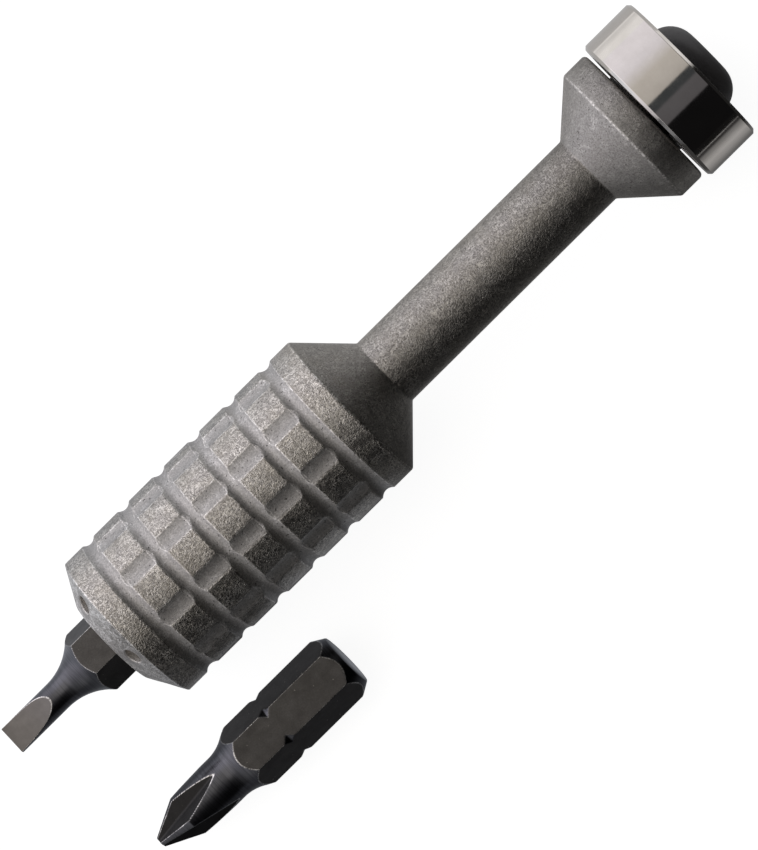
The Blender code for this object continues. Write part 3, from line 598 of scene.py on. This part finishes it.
def flare_radius_at(stations, start, shank_radius, flare_radius, end_radius, chamfer_angle):
    """Radius of a bit's shank, its flare and the chamfer that ends its hexagon."""
    sweep = math.acos(1 - (end_radius - shank_radius) / flare_radius)
    run = np.clip(stations - start, 0, flare_radius * math.sin(sweep))
    flare = shank_radius + flare_radius - np.sqrt(flare_radius**2 - run**2)
    beyond = np.clip(stations - start - flare_radius * math.sin(sweep), 0, None)
    return flare + beyond * math.tan(chamfer_angle)


def make_bit(name, centre, stations, angles, turned_radius, cuts, hex_angle, material, body,
             node, ground_bare_or_painted_shade):
    """Skin a hex bit from its turned radius, its hexagon and the cuts in its front end."""
    hex_radius, hex_edge = hex_radius_at(angles, hex_angle)
    round_part = turned_radius[:, None]
    radii, _ = soft_min(round_part, hex_radius, CRISP_EDGE)
    turned_share = np.clip(0.5 + (hex_radius - round_part) / CRISP_EDGE, 0, 1)
    join = edge_share(round_part, hex_radius, WEAR_REACH)
    at_notch = np.abs(stations - BIT_LENGTH + BIT_NOTCH_FROM_REAR) < BIT_NOTCH_LENGTH
    join = np.where(at_notch[:, None], join * NOTCH_WEAR, join)
    wear = np.maximum(join, hex_edge * (1 - turned_share))
    ground = np.zeros_like(radii)
    for cut_radius in cuts:
        ground = np.maximum(ground, np.clip(0.5 + (radii - cut_radius) / CRISP_EDGE, 0, 1))
        near = edge_share(radii, cut_radius, WEAR_REACH)
        radii, _ = soft_min(radii, cut_radius, CRISP_EDGE)
        wear = np.maximum(wear * (ground < 1), near)
    inset = CRISP_EDGE / 2
    radii = np.vstack([radii[:1] * 0, radii[:1] - inset, radii, radii[-1:] - inset, radii[-1:] * 0])
    stations = np.clip(stations, inset, BIT_LENGTH - inset)
    stations = np.concatenate([[0, 0], stations, [BIT_LENGTH, BIT_LENGTH]])
    # The ground mark is bare steel on the blade, and painted shade in the cross bit's flutes.
    marks = {mark: np.pad(values, ((2, 2), (0, 0)), "edge")
             for mark, values in (("wear", wear), ("turned", turned_share * (1 - ground)),
                                  ("ground", ground * ground_bare_or_painted_shade))}
    piece = polar_piece(name, centre, stations, angles, radii, marks)
    piece.data.set_sharp_from_angle(angle=BIT_SHARP_TURN)
    finish_piece(piece, material, body, "black_oxide", node)


def bit_angles(hex_angle, extra_spans=()):
    """Angles round a bit, close together at the hexagon's corners."""
    corners = [math.radians(30 + 60 * corner) for corner in range(6)]
    spans = [(corner - BIT_CORNER_SPAN, corner + BIT_CORNER_SPAN) for corner in corners]
    return hex_angle + spread(0, math.tau, spans + list(extra_spans), FINE_TURN, BIT_TURN)[:-1]


def bit_stations():
    """Stations along a bit, close together at its front, its notch and its rear chamfer."""
    notch = BIT_LENGTH - BIT_NOTCH_FROM_REAR
    spans = [(0, BIT_FRONT_SPAN), (notch - BIT_NOTCH_SPAN, notch + BIT_NOTCH_SPAN),
             (BIT_LENGTH - BIT_REAR_SPAN, BIT_LENGTH)]
    return spread(0, BIT_LENGTH, spans, BIT_STEP, COARSE_STEP)


def make_blade_bit(material):
    """The slotted bit in the nose, with its hollow ground blade."""
    tip = Vector((blade_low.x, NOSE_FACE.y, NOSE_FACE.z))
    sides = [(side - BLADE_SIDE_SPAN, side + BLADE_SIDE_SPAN)
             for side in (math.pi / 2, math.pi * 3 / 2)]
    angles = bit_angles(BLADE_ANGLE, sides)
    stations = bit_stations()
    front = flare_radius_at(stations, BLADE_SHANK_LENGTH, BLADE_SHANK_RADIUS, BLADE_FLARE_RADIUS,
                            BIT_CORNER_RADIUS - BLADE_HEX_CHAMFER, BLADE_HEX_CHAMFER_ANGLE)
    turned_radius = np.minimum(front, drive_radius_at(stations))
    centre = arc_centre(Vector((0, BLADE_THICKNESS / 2)),
                        Vector((BLADE_GRIND_LENGTH, BLADE_SHANK_RADIUS)), BLADE_GRIND_RADIUS)
    reach = np.clip(BLADE_GRIND_RADIUS**2 - (stations - centre.x)**2, 0, None)
    half_thickness = centre.y - np.sqrt(reach)
    half_thickness = np.where(stations < 2 * BLADE_GRIND_LENGTH, half_thickness, BIT_LENGTH)
    across = np.abs(np.cos(angles - BLADE_ANGLE)) + TINY
    ground = half_thickness[:, None] / across
    make_bit("blade_bit_fine", tip, stations, angles, turned_radius, [ground], BLADE_ANGLE,
             material, "socket_bit", "slotted_bit", 1)


def make_cross_bit(material):
    """The loose bit with its cross point and four tapering flutes."""
    middle = (cross_low + cross_high) / 2
    tip = Vector((cross_low.x, middle.y, middle.z))
    taper_end = CROSS_POINT_LENGTH + CROSS_TAPER_LENGTH
    shank_end = taper_end + CROSS_STRAIGHT_LENGTH
    angles = bit_angles(0)
    stations = bit_stations()
    point_slope = (CROSS_POINT_RADIUS - CROSS_TIP_RADIUS) / CROSS_POINT_LENGTH
    taper_slope = (CROSS_SHANK_RADIUS - CROSS_POINT_RADIUS) / CROSS_TAPER_LENGTH
    point, _ = soft_min(CROSS_TIP_RADIUS + stations * point_slope,
                        CROSS_POINT_RADIUS + (stations - CROSS_POINT_LENGTH) * taper_slope,
                        CRISP_EDGE)
    flare = flare_radius_at(stations, shank_end, CROSS_SHANK_RADIUS, CROSS_FLARE_RADIUS,
                            BIT_CORNER_RADIUS - CROSS_HEX_CHAMFER, CROSS_HEX_CHAMFER_ANGLE)
    front = np.where(stations < taper_end, point, flare)
    turned_radius = np.minimum(front, drive_radius_at(stations))
    flute_end = shank_end - CROSS_FLUTE_RUN_OUT
    root_slope = (CROSS_SHANK_RADIUS - CROSS_FLUTE_ROOT_RADIUS) / flute_end
    root = CROSS_FLUTE_ROOT_RADIUS + root_slope * stations
    root = np.where(stations < shank_end, root, BIT_LENGTH)[:, None]
    half_floor = CROSS_FLUTE_FLOOR_WIDTH / 2
    spread_rate = 1 / math.tan(CROSS_FLUTE_HALF_ANGLE)
    cuts = []
    for flute in range(CROSS_FLUTE_COUNT):
        offset = angles - CROSS_WING_ANGLE - math.tau * (flute + 0.5) / CROSS_FLUTE_COUNT
        opening = np.cos(offset) - np.abs(np.sin(offset)) * spread_rate
        side = (root - half_floor * spread_rate) / np.clip(opening, TINY, None)
        floor = root / np.clip(np.cos(offset), TINY, None)
        cuts.append(np.where(opening > TINY, np.maximum(side, floor), BIT_LENGTH))
    # The last argument paints shade into the flutes.
    make_bit("cross_bit_fine", tip, stations, angles, turned_radius, cuts, 0, material,
             "spare_bit", "phillips_bit", -1)


# Tail ring and axle screw

def make_ring(material):
    """Polished outer race of the bearing, which is the spinning ring."""
    start, end = SPANS["bearing_outer_race"]
    radius = (ring_high.z - ring_low.z) / 2 / ROUND_SHARE
    front, rear = ([(face + inward * SHIELD_SEAT_DEPTH, RACE_TRACK_RADIUS),
                    (face + inward * SHIELD_SEAT_DEPTH, SHIELD_SEAT_RADIUS),
                    (face, SHIELD_SEAT_RADIUS), (face, radius - RACE_CHAMFER),
                    (face + inward * RACE_CHAMFER, radius)]
                   for face, inward in ((start, 1), (end, -1)))
    outline = rounded(front + rear[::-1], [CRISP_EDGE] * 8)
    ring = turned("ring_fine", outline, closed=True)
    finish_piece(ring, material, "spin_ring", "polished_steel", "bearing_outer_race")


def make_shield(end, material):
    """Pressed shield with its stepped rim, seated in the ring."""
    low, high = SPANS[f"bearing_shield_{end}"]
    outside, inside = (low, high) if end == "front" else (high, low)
    step = SHIELD_STEP_DEPTH if end == "front" else -SHIELD_STEP_DEPTH
    corners = [(inside, SHIELD_OUTER_RADIUS), (outside, SHIELD_OUTER_RADIUS),
               (outside, SHIELD_STEP_RADIUS),
               (outside + step, SHIELD_STEP_RADIUS - SHIELD_STEP_DEPTH),
               (outside + step, SHIELD_INNER_RADIUS), (inside, SHIELD_INNER_RADIUS)]
    if end == "front":
        corners.reverse()
    outline = rounded(corners, [CRISP_EDGE / 2] * 4)
    shield = turned(f"shield_{end}_fine", outline, closed=True)
    finish_piece(shield, material, "spin_ring", "pressed_steel", f"bearing_shield_{end}")


def make_spacer(material):
    """Washer between the head and the bearing."""
    start, end = SPANS["spacer_washer"]
    radius = (spacer_high.z - spacer_low.z) / 2
    outline = [(start, SPACER_BORE_RADIUS), (start, radius), (end, radius),
               (end, SPACER_BORE_RADIUS)]
    spacer = turned("spacer_fine", outline, closed=True, segments=ROUND_SEGMENTS // 2)
    # Painted shade: the spacer is darkened almost to black, where it sits in shade in the gap.
    set_marks(spacer.data, {"painted_shading": np.full(len(spacer.data.vertices), SPACER_PAINTED_SHADE)})
    spacer.data.set_sharp_from_angle(angle=SHARP_TURN)
    finish_piece(spacer, material, "driver", "titanium", "spacer_washer")


def make_screw(material):
    """Axle screw with its domed head and hex drive."""
    start, top = SPANS["axle_screw"]
    seat = top - DOME_HEIGHT
    first, last = Vector((seat, DOME_RADIUS)), Vector((top, DOME_TOP_RADIUS))
    centre = arc_centre(last, first, DOME_ARC_RADIUS)
    from_angle = math.atan2(first.y - centre.y, first.x - centre.x)
    to_angle = math.atan2(last.y - centre.y, last.x - centre.x)
    dome = arc_points(centre, DOME_ARC_RADIUS, from_angle, to_angle, 14)
    spacer_start = SPANS["spacer_washer"][0]
    stem = [(start, 0), (start, AXLE_THREAD_RADIUS - AXLE_END_CHAMFER),
            (start + AXLE_END_CHAMFER, AXLE_THREAD_RADIUS), (spacer_start, AXLE_THREAD_RADIUS),
            (spacer_start, AXLE_RADIUS), (seat, AXLE_RADIUS), (seat, DOME_RADIUS - CRISP_EDGE)]
    flat = [(top, DOME_TOP_RADIUS * share) for share in DOME_FLAT_SHARES]
    screw = turned("screw_fine", stem + dome + flat)
    facing = Matrix.Rotation(math.pi / 2, 4, "Y")
    place = NOSE_FACE + Vector((top, 0, 0))
    cut(screw, [prism("drive_cutter", hexagon(DOME_DRIVE_ACROSS_FLATS, math.pi / 2),
                      DOME_DRIVE_DEPTH, place, facing)])
    screw.data.set_sharp_from_angle(angle=SCREW_SHARP_TURN)
    finish_piece(screw, material, "driver", "matte_black", "axle_screw")


# Node helpers

def feed(tree, socket, value):
    """Set a socket to a value, or link it to another socket."""
    if isinstance(value, bpy.types.NodeSocket):
        tree.links.new(value, socket)
    else:
        socket.default_value = value


def noise(tree, place, feature, detail=2, roughness=0.5, distortion=0):
    """Smooth noise whose features are about the given number of millimetres wide."""
    node = tree.nodes.new("ShaderNodeTexNoise")
    feed(tree, node.inputs["Vector"], place)
    feed(tree, node.inputs["Scale"], 1 / (feature * MM))
    feed(tree, node.inputs["Detail"], detail)
    feed(tree, node.inputs["Roughness"], roughness)
    feed(tree, node.inputs["Distortion"], distortion)
    return node.outputs["Fac"]


def stretch(tree, place, scale, rotation=(0, 0, 0)):
    """Turn and scale places, to draw noise out along one direction."""
    node = tree.nodes.new("ShaderNodeMapping")
    feed(tree, node.inputs["Vector"], place)
    node.inputs["Scale"].default_value = scale
    node.inputs["Rotation"].default_value = rotation
    return node.outputs["Vector"]


def calculate(tree, operation, first, second=0, third=0):
    """One sum on numbers."""
    node = tree.nodes.new("ShaderNodeMath")
    node.operation = operation
    for socket, value in zip(node.inputs, (first, second, third)):
        feed(tree, socket, value)
    return node.outputs["Value"]


def product(tree, first, second):
    """One number times another."""
    return calculate(tree, "MULTIPLY", first, second)


def rescale(tree, value, low, high, new_low=0, new_high=1, smooth=False):
    """Map a range onto another one, and hold it there."""
    node = tree.nodes.new("ShaderNodeMapRange")
    node.interpolation_type = "SMOOTHSTEP" if smooth else "LINEAR"
    for name, number in (("Value", value), ("From Min", low), ("From Max", high),
                         ("To Min", new_low), ("To Max", new_high)):
        feed(tree, node.inputs[name], number)
    return node.outputs["Result"]


def even(tree, value):
    """Spread the middle values of noise over the range from 0 to 1."""
    return rescale(tree, value, 0.3, 0.7)


def mix(tree, share, first, second):
    """Mix two colours."""
    node = tree.nodes.new("ShaderNodeMix")
    node.data_type = "RGBA"
    feed(tree, node.inputs["Factor"], share)
    for name, colour in (("A", first), ("B", second)):
        socket = next(s for s in node.inputs if s.name == name and s.type == "RGBA")
        feed(tree, socket, (*colour, 1) if isinstance(colour, tuple) else colour)
    return next(s for s in node.outputs if s.type == "RGBA")


def mix_value(tree, share, first, second):
    """Mix two numbers."""
    return rescale(tree, share, 0, 1, first, second)


def mark_value(tree, name):
    """A named value that the mesh carries on its points."""
    node = tree.nodes.new("ShaderNodeAttribute")
    node.attribute_name = name
    return node.outputs["Fac"]


def ridges(tree, place, feature, width, distortion=0.6):
    """Thin curved lines, where smooth noise crosses its middle."""
    value = noise(tree, place, feature, 1, 0.4, distortion)
    away = calculate(tree, "ABSOLUTE", calculate(tree, "SUBTRACT", value, 0.5))
    return rescale(tree, away, 0, width, 1, 0)


# Materials

def new_material(name, metallic=1):
    """A material with its tree, its Principled shader and each point's place in metres."""
    material = bpy.data.materials.new(name)
    material.use_nodes = True
    tree = material.node_tree
    shader = tree.nodes["Principled BSDF"]
    shader.inputs["Metallic"].default_value = metallic
    return material, tree, shader, tree.nodes.new("ShaderNodeTexCoord").outputs["Object"]


def dress(tree, shader, tone, roughness, relief, depth, strength):
    """Feed a shader its tone, its roughness and its relief, with the depth in millimetres."""
    bump = tree.nodes.new("ShaderNodeBump")
    bump.inputs["Distance"].default_value = depth * MM
    feed(tree, bump.inputs["Strength"], strength)
    feed(tree, bump.inputs["Height"], relief)
    feed(tree, shader.inputs["Base Color"], tone)
    feed(tree, shader.inputs["Roughness"], roughness)
    feed(tree, shader.inputs["Normal"], bump.outputs["Normal"])


def scratches_and_pits(tree, place, patches):
    """Curled scratches that tumbling left, denser in patches, and small pits."""
    drawn = stretch(tree, place, (0.6, 1, 1), (0.5, 0.3, 0.8))
    scratches = calculate(tree, "MAXIMUM", ridges(tree, place, 0.3, 0.055, 1.0),
                          ridges(tree, drawn, 0.34, 0.055, 0.8))
    pits = noise(tree, place, 0.26, 1, 0.5, 0.5)
    return (product(tree, scratches, rescale(tree, patches, 0.36, 0.56, 0.4, 1)),
            rescale(tree, pits, 0.31, 0.27))


def rough_titanium(tree, place, grain, scratches):
    """Tone of tumbled titanium: dark and light grain, bright scratches, a warm stain."""
    tone = mix(tree, rescale(tree, grain, 0.33, 0.64), (0.19, 0.177, 0.163), (0.42, 0.393, 0.36))
    tone = mix(tree, scratches, tone, (0.86, 0.818, 0.75))
    stain = rescale(tree, noise(tree, place, 2.2, 3, 0.6), 0.45, 0.62, 0, 0.35)
    return mix(tree, stain, tone, (0.38, 0.345, 0.288))


def blasted_titanium(tree, grain, scratches, pits, patches):
    """Tone of evenly blasted titanium, with few scratches and some dark pits."""
    tone = mix(tree, rescale(tree, grain, 0.33, 0.67), (0.36, 0.346, 0.331), (0.57, 0.549, 0.525))
    specks = product(tree, scratches, rescale(tree, patches, 0.5, 0.66, 0.05, 0.5))
    tone = mix(tree, specks, tone, (1.0, 0.98, 0.96))
    return mix(tree, pits, tone, (0.16, 0.153, 0.147))


def titanium_material():
    """Tumbled titanium: warm grey with curled scratches, evenly blasted where tools cut it."""
    material, tree, shader, place = new_material("tumbled_titanium")
    wear, blasted, painted_shading = (mark_value(tree, name) for name in ("wear", "blasted", "painted_shading"))
    patches = noise(tree, place, 1.1, 3, 0.6)
    grain = noise(tree, place, 0.17, 2, 0.7)
    curls = noise(tree, place, 0.3, 1, 0.5, 1.6)
    scratches, pits = scratches_and_pits(tree, place, patches)
    tone = mix(tree, blasted, rough_titanium(tree, place, grain, scratches),
               blasted_titanium(tree, grain, scratches, pits, patches))
    edge = product(tree, rescale(tree, wear, 0.35, 0.9), rescale(tree, curls, 0.43, 0.57))
    edge = product(tree, edge, rescale(tree, patches, 0.38, 0.58, 0.35, 1))
    tone = mix(tree, edge, tone, (1.0, 0.97, 0.93))
    # Painted shade: the painted_shading mark darkens the tone towards black.
    tone = mix(tree, rescale(tree, painted_shading, 0, 3, 0, 0.9), tone, (0.02, 0.019, 0.019))
    # Painted light: a negative painted_shading mark lightens the tone in the spanner holes.
    tone = mix(tree, rescale(tree, painted_shading, 0, -1, 0, 0.25), tone, (1.0, 0.96, 0.9))
    roughness = mix_value(tree, blasted, rescale(tree, grain, 0.3, 0.7, 0.4, 0.32), 0.6)
    relief = grain
    for texture, height in ((curls, 0.8), (scratches, -0.3), (pits, -0.6)):
        relief = calculate(tree, "MULTIPLY_ADD", texture, height, relief)
    dress(tree, shader, tone, roughness, relief, 0.038, mix_value(tree, blasted, 1, 0.5))
    return material


def black_oxide_material():
    """Black oxide tool steel: brownish flats, bluish turned parts, bright worn edges."""
    material, tree, shader, place = new_material("black_oxide_steel")
    wear, turned_mark, bare_or_painted_shade_mark = (mark_value(tree, name)
                                      for name in ("wear", "turned", "ground"))
    mottle = even(tree, noise(tree, place, 1.2, 4, 0.6))
    grain = noise(tree, place, 0.15, 2, 0.6)
    rings = noise(tree, stretch(tree, place, (1, 0.03, 0.03)), 0.1, 1, 0.5)
    specks = rescale(tree, noise(tree, place, 0.3, 1, 0.5), 0.75, 0.79)
    flats = mix(tree, mottle, (0.076, 0.071, 0.067), (0.112, 0.106, 0.101))
    flats = mix(tree, rescale(tree, grain, 0.35, 0.65, 0.25, 0), flats, (0.05, 0.048, 0.047))
    flats = mix(tree, specks, flats, (0.3, 0.28, 0.25))
    round_parts = mix(tree, rescale(tree, rings, 0.35, 0.65), (0.076, 0.076, 0.083),
                      (0.108, 0.108, 0.118))
    bare = mix(tree, mottle, (0.134, 0.124, 0.116), (0.168, 0.156, 0.146))
    tone = mix(tree, turned_mark, flats, round_parts)
    tone = mix(tree, bare_or_painted_shade_mark, tone, bare)
    # Painted shade: a negative ground mark darkens the cross bit's flutes almost to black.
    tone = mix(tree, rescale(tree, bare_or_painted_shade_mark, 0, -1, 0, 0.75), tone, (0.012, 0.012, 0.013))
    rubbed = rescale(tree, noise(tree, place, 1.6, 1, 0.5), 0.4, 0.6, 0.3, 0.9)
    edge = product(tree, rescale(tree, wear, 0.3, 0.8), rescale(tree, grain, 0.38, 0.56, 0.1, 1))
    tone = mix(tree, product(tree, edge, rubbed), tone, (0.9, 0.87, 0.84))
    relief = calculate(tree, "MULTIPLY_ADD", rings, turned_mark, grain)
    dress(tree, shader, tone, mix_value(tree, turned_mark, 0.42, 0.3), relief, 0.006, 0.8)
    return material


def polished_material():
    """Polished bearing steel with faint turning lines."""
    material, tree, shader, place = new_material("polished_steel")
    lines = noise(tree, stretch(tree, place, (1, 0.03, 0.03)), 0.09, 2, 0.6)
    smudge = even(tree, noise(tree, place, 1.5, 3, 0.6))
    peel = noise(tree, place, 0.35, 2, 0.5)
    tone = mix(tree, smudge, (0.62, 0.583, 0.545), (0.67, 0.633, 0.595))
    relief = calculate(tree, "MULTIPLY_ADD", peel, 1.6, lines)
    dress(tree, shader, tone, mix_value(tree, smudge, 0.06, 0.11), relief, 0.0012, 0.6)
    return material


def matte_black_material():
    """Matte black coat on the axle screw."""
    material, tree, shader, place = new_material("matte_black_steel", metallic=0)
    grain = noise(tree, place, 0.1, 3, 0.6)
    tone = mix(tree, even(tree, grain), (0.06, 0.057, 0.059), (0.09, 0.086, 0.088))
    dress(tree, shader, tone, 0.42, grain, 0.008, 0.6)
    return material


def pressed_steel_material():
    """Pressed sheet steel of the shields, cage and rivets."""
    material, tree, shader, place = new_material("pressed_steel")
    lines = noise(tree, stretch(tree, place, (1, 0.4, 0.4)), 0.3, 3, 0.6)
    share = even(tree, lines)
    tone = mix(tree, share, (0.47, 0.46, 0.44), (0.6, 0.59, 0.57))
    dress(tree, shader, tone, mix_value(tree, share, 0.26, 0.4), lines, 0.004, 0.5)
    return material


def magnet_material():
    """Nickel plate on the socket's magnet."""
    material, tree, shader, place = new_material("plated_magnet")
    smudge = noise(tree, place, 0.8, 3, 0.6)
    feed(tree, shader.inputs["Base Color"],
         mix(tree, smudge, (0.62, 0.6, 0.56), (0.75, 0.73, 0.69)))
    feed(tree, shader.inputs["Roughness"], rescale(tree, smudge, 0.3, 0.7, 0.18, 0.34))
    return material


# Surroundings

def level_ramp(tree, value, low, high, stops):
    """Light along a value, each stop a place, a level and a tint."""
    node = tree.nodes.new("ShaderNodeValToRGB")
    elements = node.color_ramp.elements
    while len(elements) < len(stops):
        elements.new(0.5)
    for element, (place, level, tint) in zip(elements, stops):
        element.position = (place - low) / (high - low)
        element.color = (*(level * channel for channel in tint), 1)
    feed(tree, node.inputs["Fac"], rescale(tree, value, low, high))
    return node.outputs["Color"]


def split_place(tree, kind):
    """The three numbers of each point's place or direction."""
    node = tree.nodes.new("ShaderNodeSeparateXYZ")
    feed(tree, node.inputs[0], tree.nodes.new("ShaderNodeTexCoord").outputs[kind])
    return node.outputs


def make_world():
    """Window light from the +Y side and the nose, and a dark room on the -Y side."""
    world = bpy.data.worlds.new("studio")
    bpy.context.scene.world = world
    world.use_nodes = True
    tree = world.node_tree
    background = tree.nodes["Background"]
    x, y, z = split_place(tree, "Generated")
    around = calculate(tree, "ARCTAN2", product(tree, y, -1), z)
    around = calculate(tree, "DEGREES", around)
    white, cool, warm, blue = (1, 1, 1), (1.0, 0.98, 1.05), (1.0, 0.96, 0.905), (0.93, 1.02, 1.1)
    window = [(-90, 1.1, cool), (-72, 1.1, cool), (-49, 0.98, cool), (-29, 0.7, warm),
              (-10, 0.62, warm)]
    open_sky = level_ramp(tree, around, -90, 90, window + [
        (6, 0.55, warm), (19, 0.1, warm), (33, 0.007, cool), (90, 0.007, cool)])
    camera_band = level_ramp(tree, around, -90, 90, window + [
        (-1, 0.57, warm), (0.5, 0.062, blue), (11, 0.062, blue), (14, 0.13, cool),
        (34, 0.12, cool), (35.5, 0.007, cool), (90, 0.007, cool)])
    near_camera = rescale(tree, calculate(tree, "ABSOLUTE", x), 0.09, 0.18, 1, 0, smooth=True)
    light = mix(tree, near_camera, open_sky, camera_band)
    nose_side = level_ramp(tree, y, -0.6, 0.6, [
        (-0.6, 0.3, white), (-0.38, 0.39, white), (-0.07, 0.41, cool), (0.13, 0.56, cool),
        (0.3, 0.7, cool), (0.6, 0.88, cool)])
    tail_side = level_ramp(tree, y, -0.6, 0.6, [
        (-0.6, 0.01, white), (0, 0.02, white), (0.3, 0.22, white), (0.6, 0.7, white)])
    light = mix(tree, rescale(tree, x, -0.45, -0.85, smooth=True), light, nose_side)
    light = mix(tree, rescale(tree, x, 0.3, 0.7, smooth=True), light, tail_side)
    gain = rescale(tree, x, 0.35, -0.35, 0.25, 1.75)
    seen = tree.nodes.new("ShaderNodeLightPath").outputs["Is Camera Ray"]
    feed(tree, background.inputs["Color"], mix(tree, seen, light, white))
    feed(tree, background.inputs["Strength"], mix_value(tree, seen, gain, 1.0))


def floor_glow(tree):
    """Painted reflection of the floor for metal: bright on the window side, dark beyond the spare
    bit.
    """
    along, side = (product(tree, metres, 1 / MM) for metres in split_place(tree, "Object")[:2])
    window = [(16, 0.5), (34, 0.58), (35.5, 0.98), (38, 0.98), (40, 0.84), (70, 1.06)]
    neutral, blue = (1.0, 1.0, 1.01), (0.94, 0.975, 1.05)

    def across(tint, stops):
        return level_ramp(tree, side, -100, 70, [(place, level, tint) for place, level in stops])

    # Painted shadow: each zone's levels dip near the driver and the spare bit.
    beyond_tail = across(neutral, [(-100, 0.01), (-4, 0.02), (6, 0.15)] + window)
    at_tail = across(neutral, [
        (-100, 0.012), (-86, 0.012), (-83, 0.3), (-73, 0.3), (-68, 0.03), (-50, 0.05),
        (-38, 0.22), (-31, 0.26), (-18, 0.48), (-12, 0.36), (-6, 0.14), (4, 0.2)] + window)
    at_neck = across(neutral, [
        (-100, 0.01), (-30, 0.07), (-18, 0.05), (-6, 0.06), (4, 0.55), (11, 0.7)] + window)
    at_grip = across(blue, [
        (-100, 0.04), (-60, 0.1), (-35, 0.17), (-26, 0.1), (-20, 0.15), (-15, 0.19), (-12, 0.5),
        (-8, 0.3), (4, 0.3)] + window)
    at_nose = across(blue, [
        (-100, 0.1), (-45, 0.3), (-20, 0.18), (-4, 0.21), (0, 0.36), (8, 0.76), (28, 0.84),
        (70, 1.0)])
    glow = at_nose
    along = calculate(tree, "MULTIPLY_ADD", side, -CAMERA_DIRECTION.x, along)
    for start, end, zone in ((-46, -36, at_grip), (-8, 0, at_neck), (35, 38, at_tail),
                             (47, 55, beyond_tail)):
        glow = mix(tree, rescale(tree, along, start, end, smooth=True), glow, zone)
    return glow


def make_floor():
    """Pale floor that keeps a faint shadow."""
    mesh_builder = bmesh.new()
    bmesh.ops.create_grid(mesh_builder, x_segments=1, y_segments=1, size=FLOOR_REACH)
    mesh = bpy.data.meshes.new("floor")
    mesh_builder.to_mesh(mesh)
    mesh_builder.free()
    floor = add_object("floor", mesh)
    material = bpy.data.materials.new("floor_white")
    material.use_nodes = True
    tree = material.node_tree
    tree.nodes.remove(tree.nodes["Principled BSDF"])
    output = tree.nodes["Material Output"]
    rays = tree.nodes.new("ShaderNodeLightPath").outputs
    seen, mirrored = rays["Is Camera Ray"], rays["Is Glossy Ray"]
    tone = mix(tree, seen, (0.86, 0.86, 0.86), (0.32, 0.32, 0.32))
    tone = mix(tree, mirrored, tone, (0, 0, 0))
    diffuse = tree.nodes.new("ShaderNodeBsdfDiffuse")
    feed(tree, diffuse.inputs["Color"], tone)
    glow = tree.nodes.new("ShaderNodeEmission")
    # Painted reflection: glossy rays see the floor glow from floor_glow instead of its diffuse
    # light.
    feed(tree, glow.inputs["Color"], mix(tree, seen, floor_glow(tree), (1, 1, 1)))
    feed(tree, glow.inputs["Strength"], calculate(tree, "MULTIPLY_ADD", seen, 0.925, mirrored))
    both = tree.nodes.new("ShaderNodeAddShader")
    feed(tree, both.inputs[0], diffuse.outputs[0])
    feed(tree, both.inputs[1], glow.outputs[0])
    feed(tree, output.inputs["Surface"], both.outputs[0])
    floor.data.materials.append(material)


def make_camera():
    """Camera at the photograph's angle, almost straight above."""
    camera_data = bpy.data.cameras.new("camera")
    camera = add_object("camera", camera_data)
    bpy.context.scene.camera = camera
    camera_data.sensor_fit = "VERTICAL"
    camera_data.sensor_height = SENSOR_HEIGHT
    camera_data.lens = FOCAL_PIXELS / IMAGE_HEIGHT * SENSOR_HEIGHT
    camera_data.clip_start = CAMERA_CLIP_START
    target = CAMERA_TARGET + Vector((0, 0, NOSE_FACE.z))
    right = Vector((math.cos(CAMERA_TURN), math.sin(CAMERA_TURN), 0))
    right = (right - CAMERA_DIRECTION * right.dot(CAMERA_DIRECTION)).normalized()
    up = CAMERA_DIRECTION.cross(right)
    turn = Matrix((right, up, CAMERA_DIRECTION)).transposed().to_4x4()
    camera.matrix_world = Matrix.Translation(target + CAMERA_DIRECTION * CAMERA_DISTANCE) @ turn


def dress_inner_nodes(materials):
    """Give the model's own inner pieces their materials."""
    for name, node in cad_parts.items():
        kind = next((kind for kind in materials if name.startswith(kind)), None)
        if kind is not None and not node.hide_render:
            node.data.materials.clear()
            node.data.materials.append(materials[kind])


def build():
    """Dress the driver and its spare bit."""
    titanium = titanium_material()
    black_oxide = black_oxide_material()
    polished = polished_material()
    pressed = pressed_steel_material()
    make_grip(titanium)
    make_nose(titanium)
    make_blade_bit(black_oxide)
    make_cross_bit(black_oxide)
    make_ring(polished)
    make_shield("front", pressed)
    make_shield("rear", pressed)
    make_spacer(titanium)
    make_screw(matte_black_material())
    dress_inner_nodes({
        "bearing_ball": polished,
        "bearing_inner_race": polished,
        "cage": pressed,
        "socket_magnet": magnet_material(),
    })
    make_world()
    make_floor()
    make_camera()
    bpy.context.scene.view_settings.view_transform = "Standard"


build()
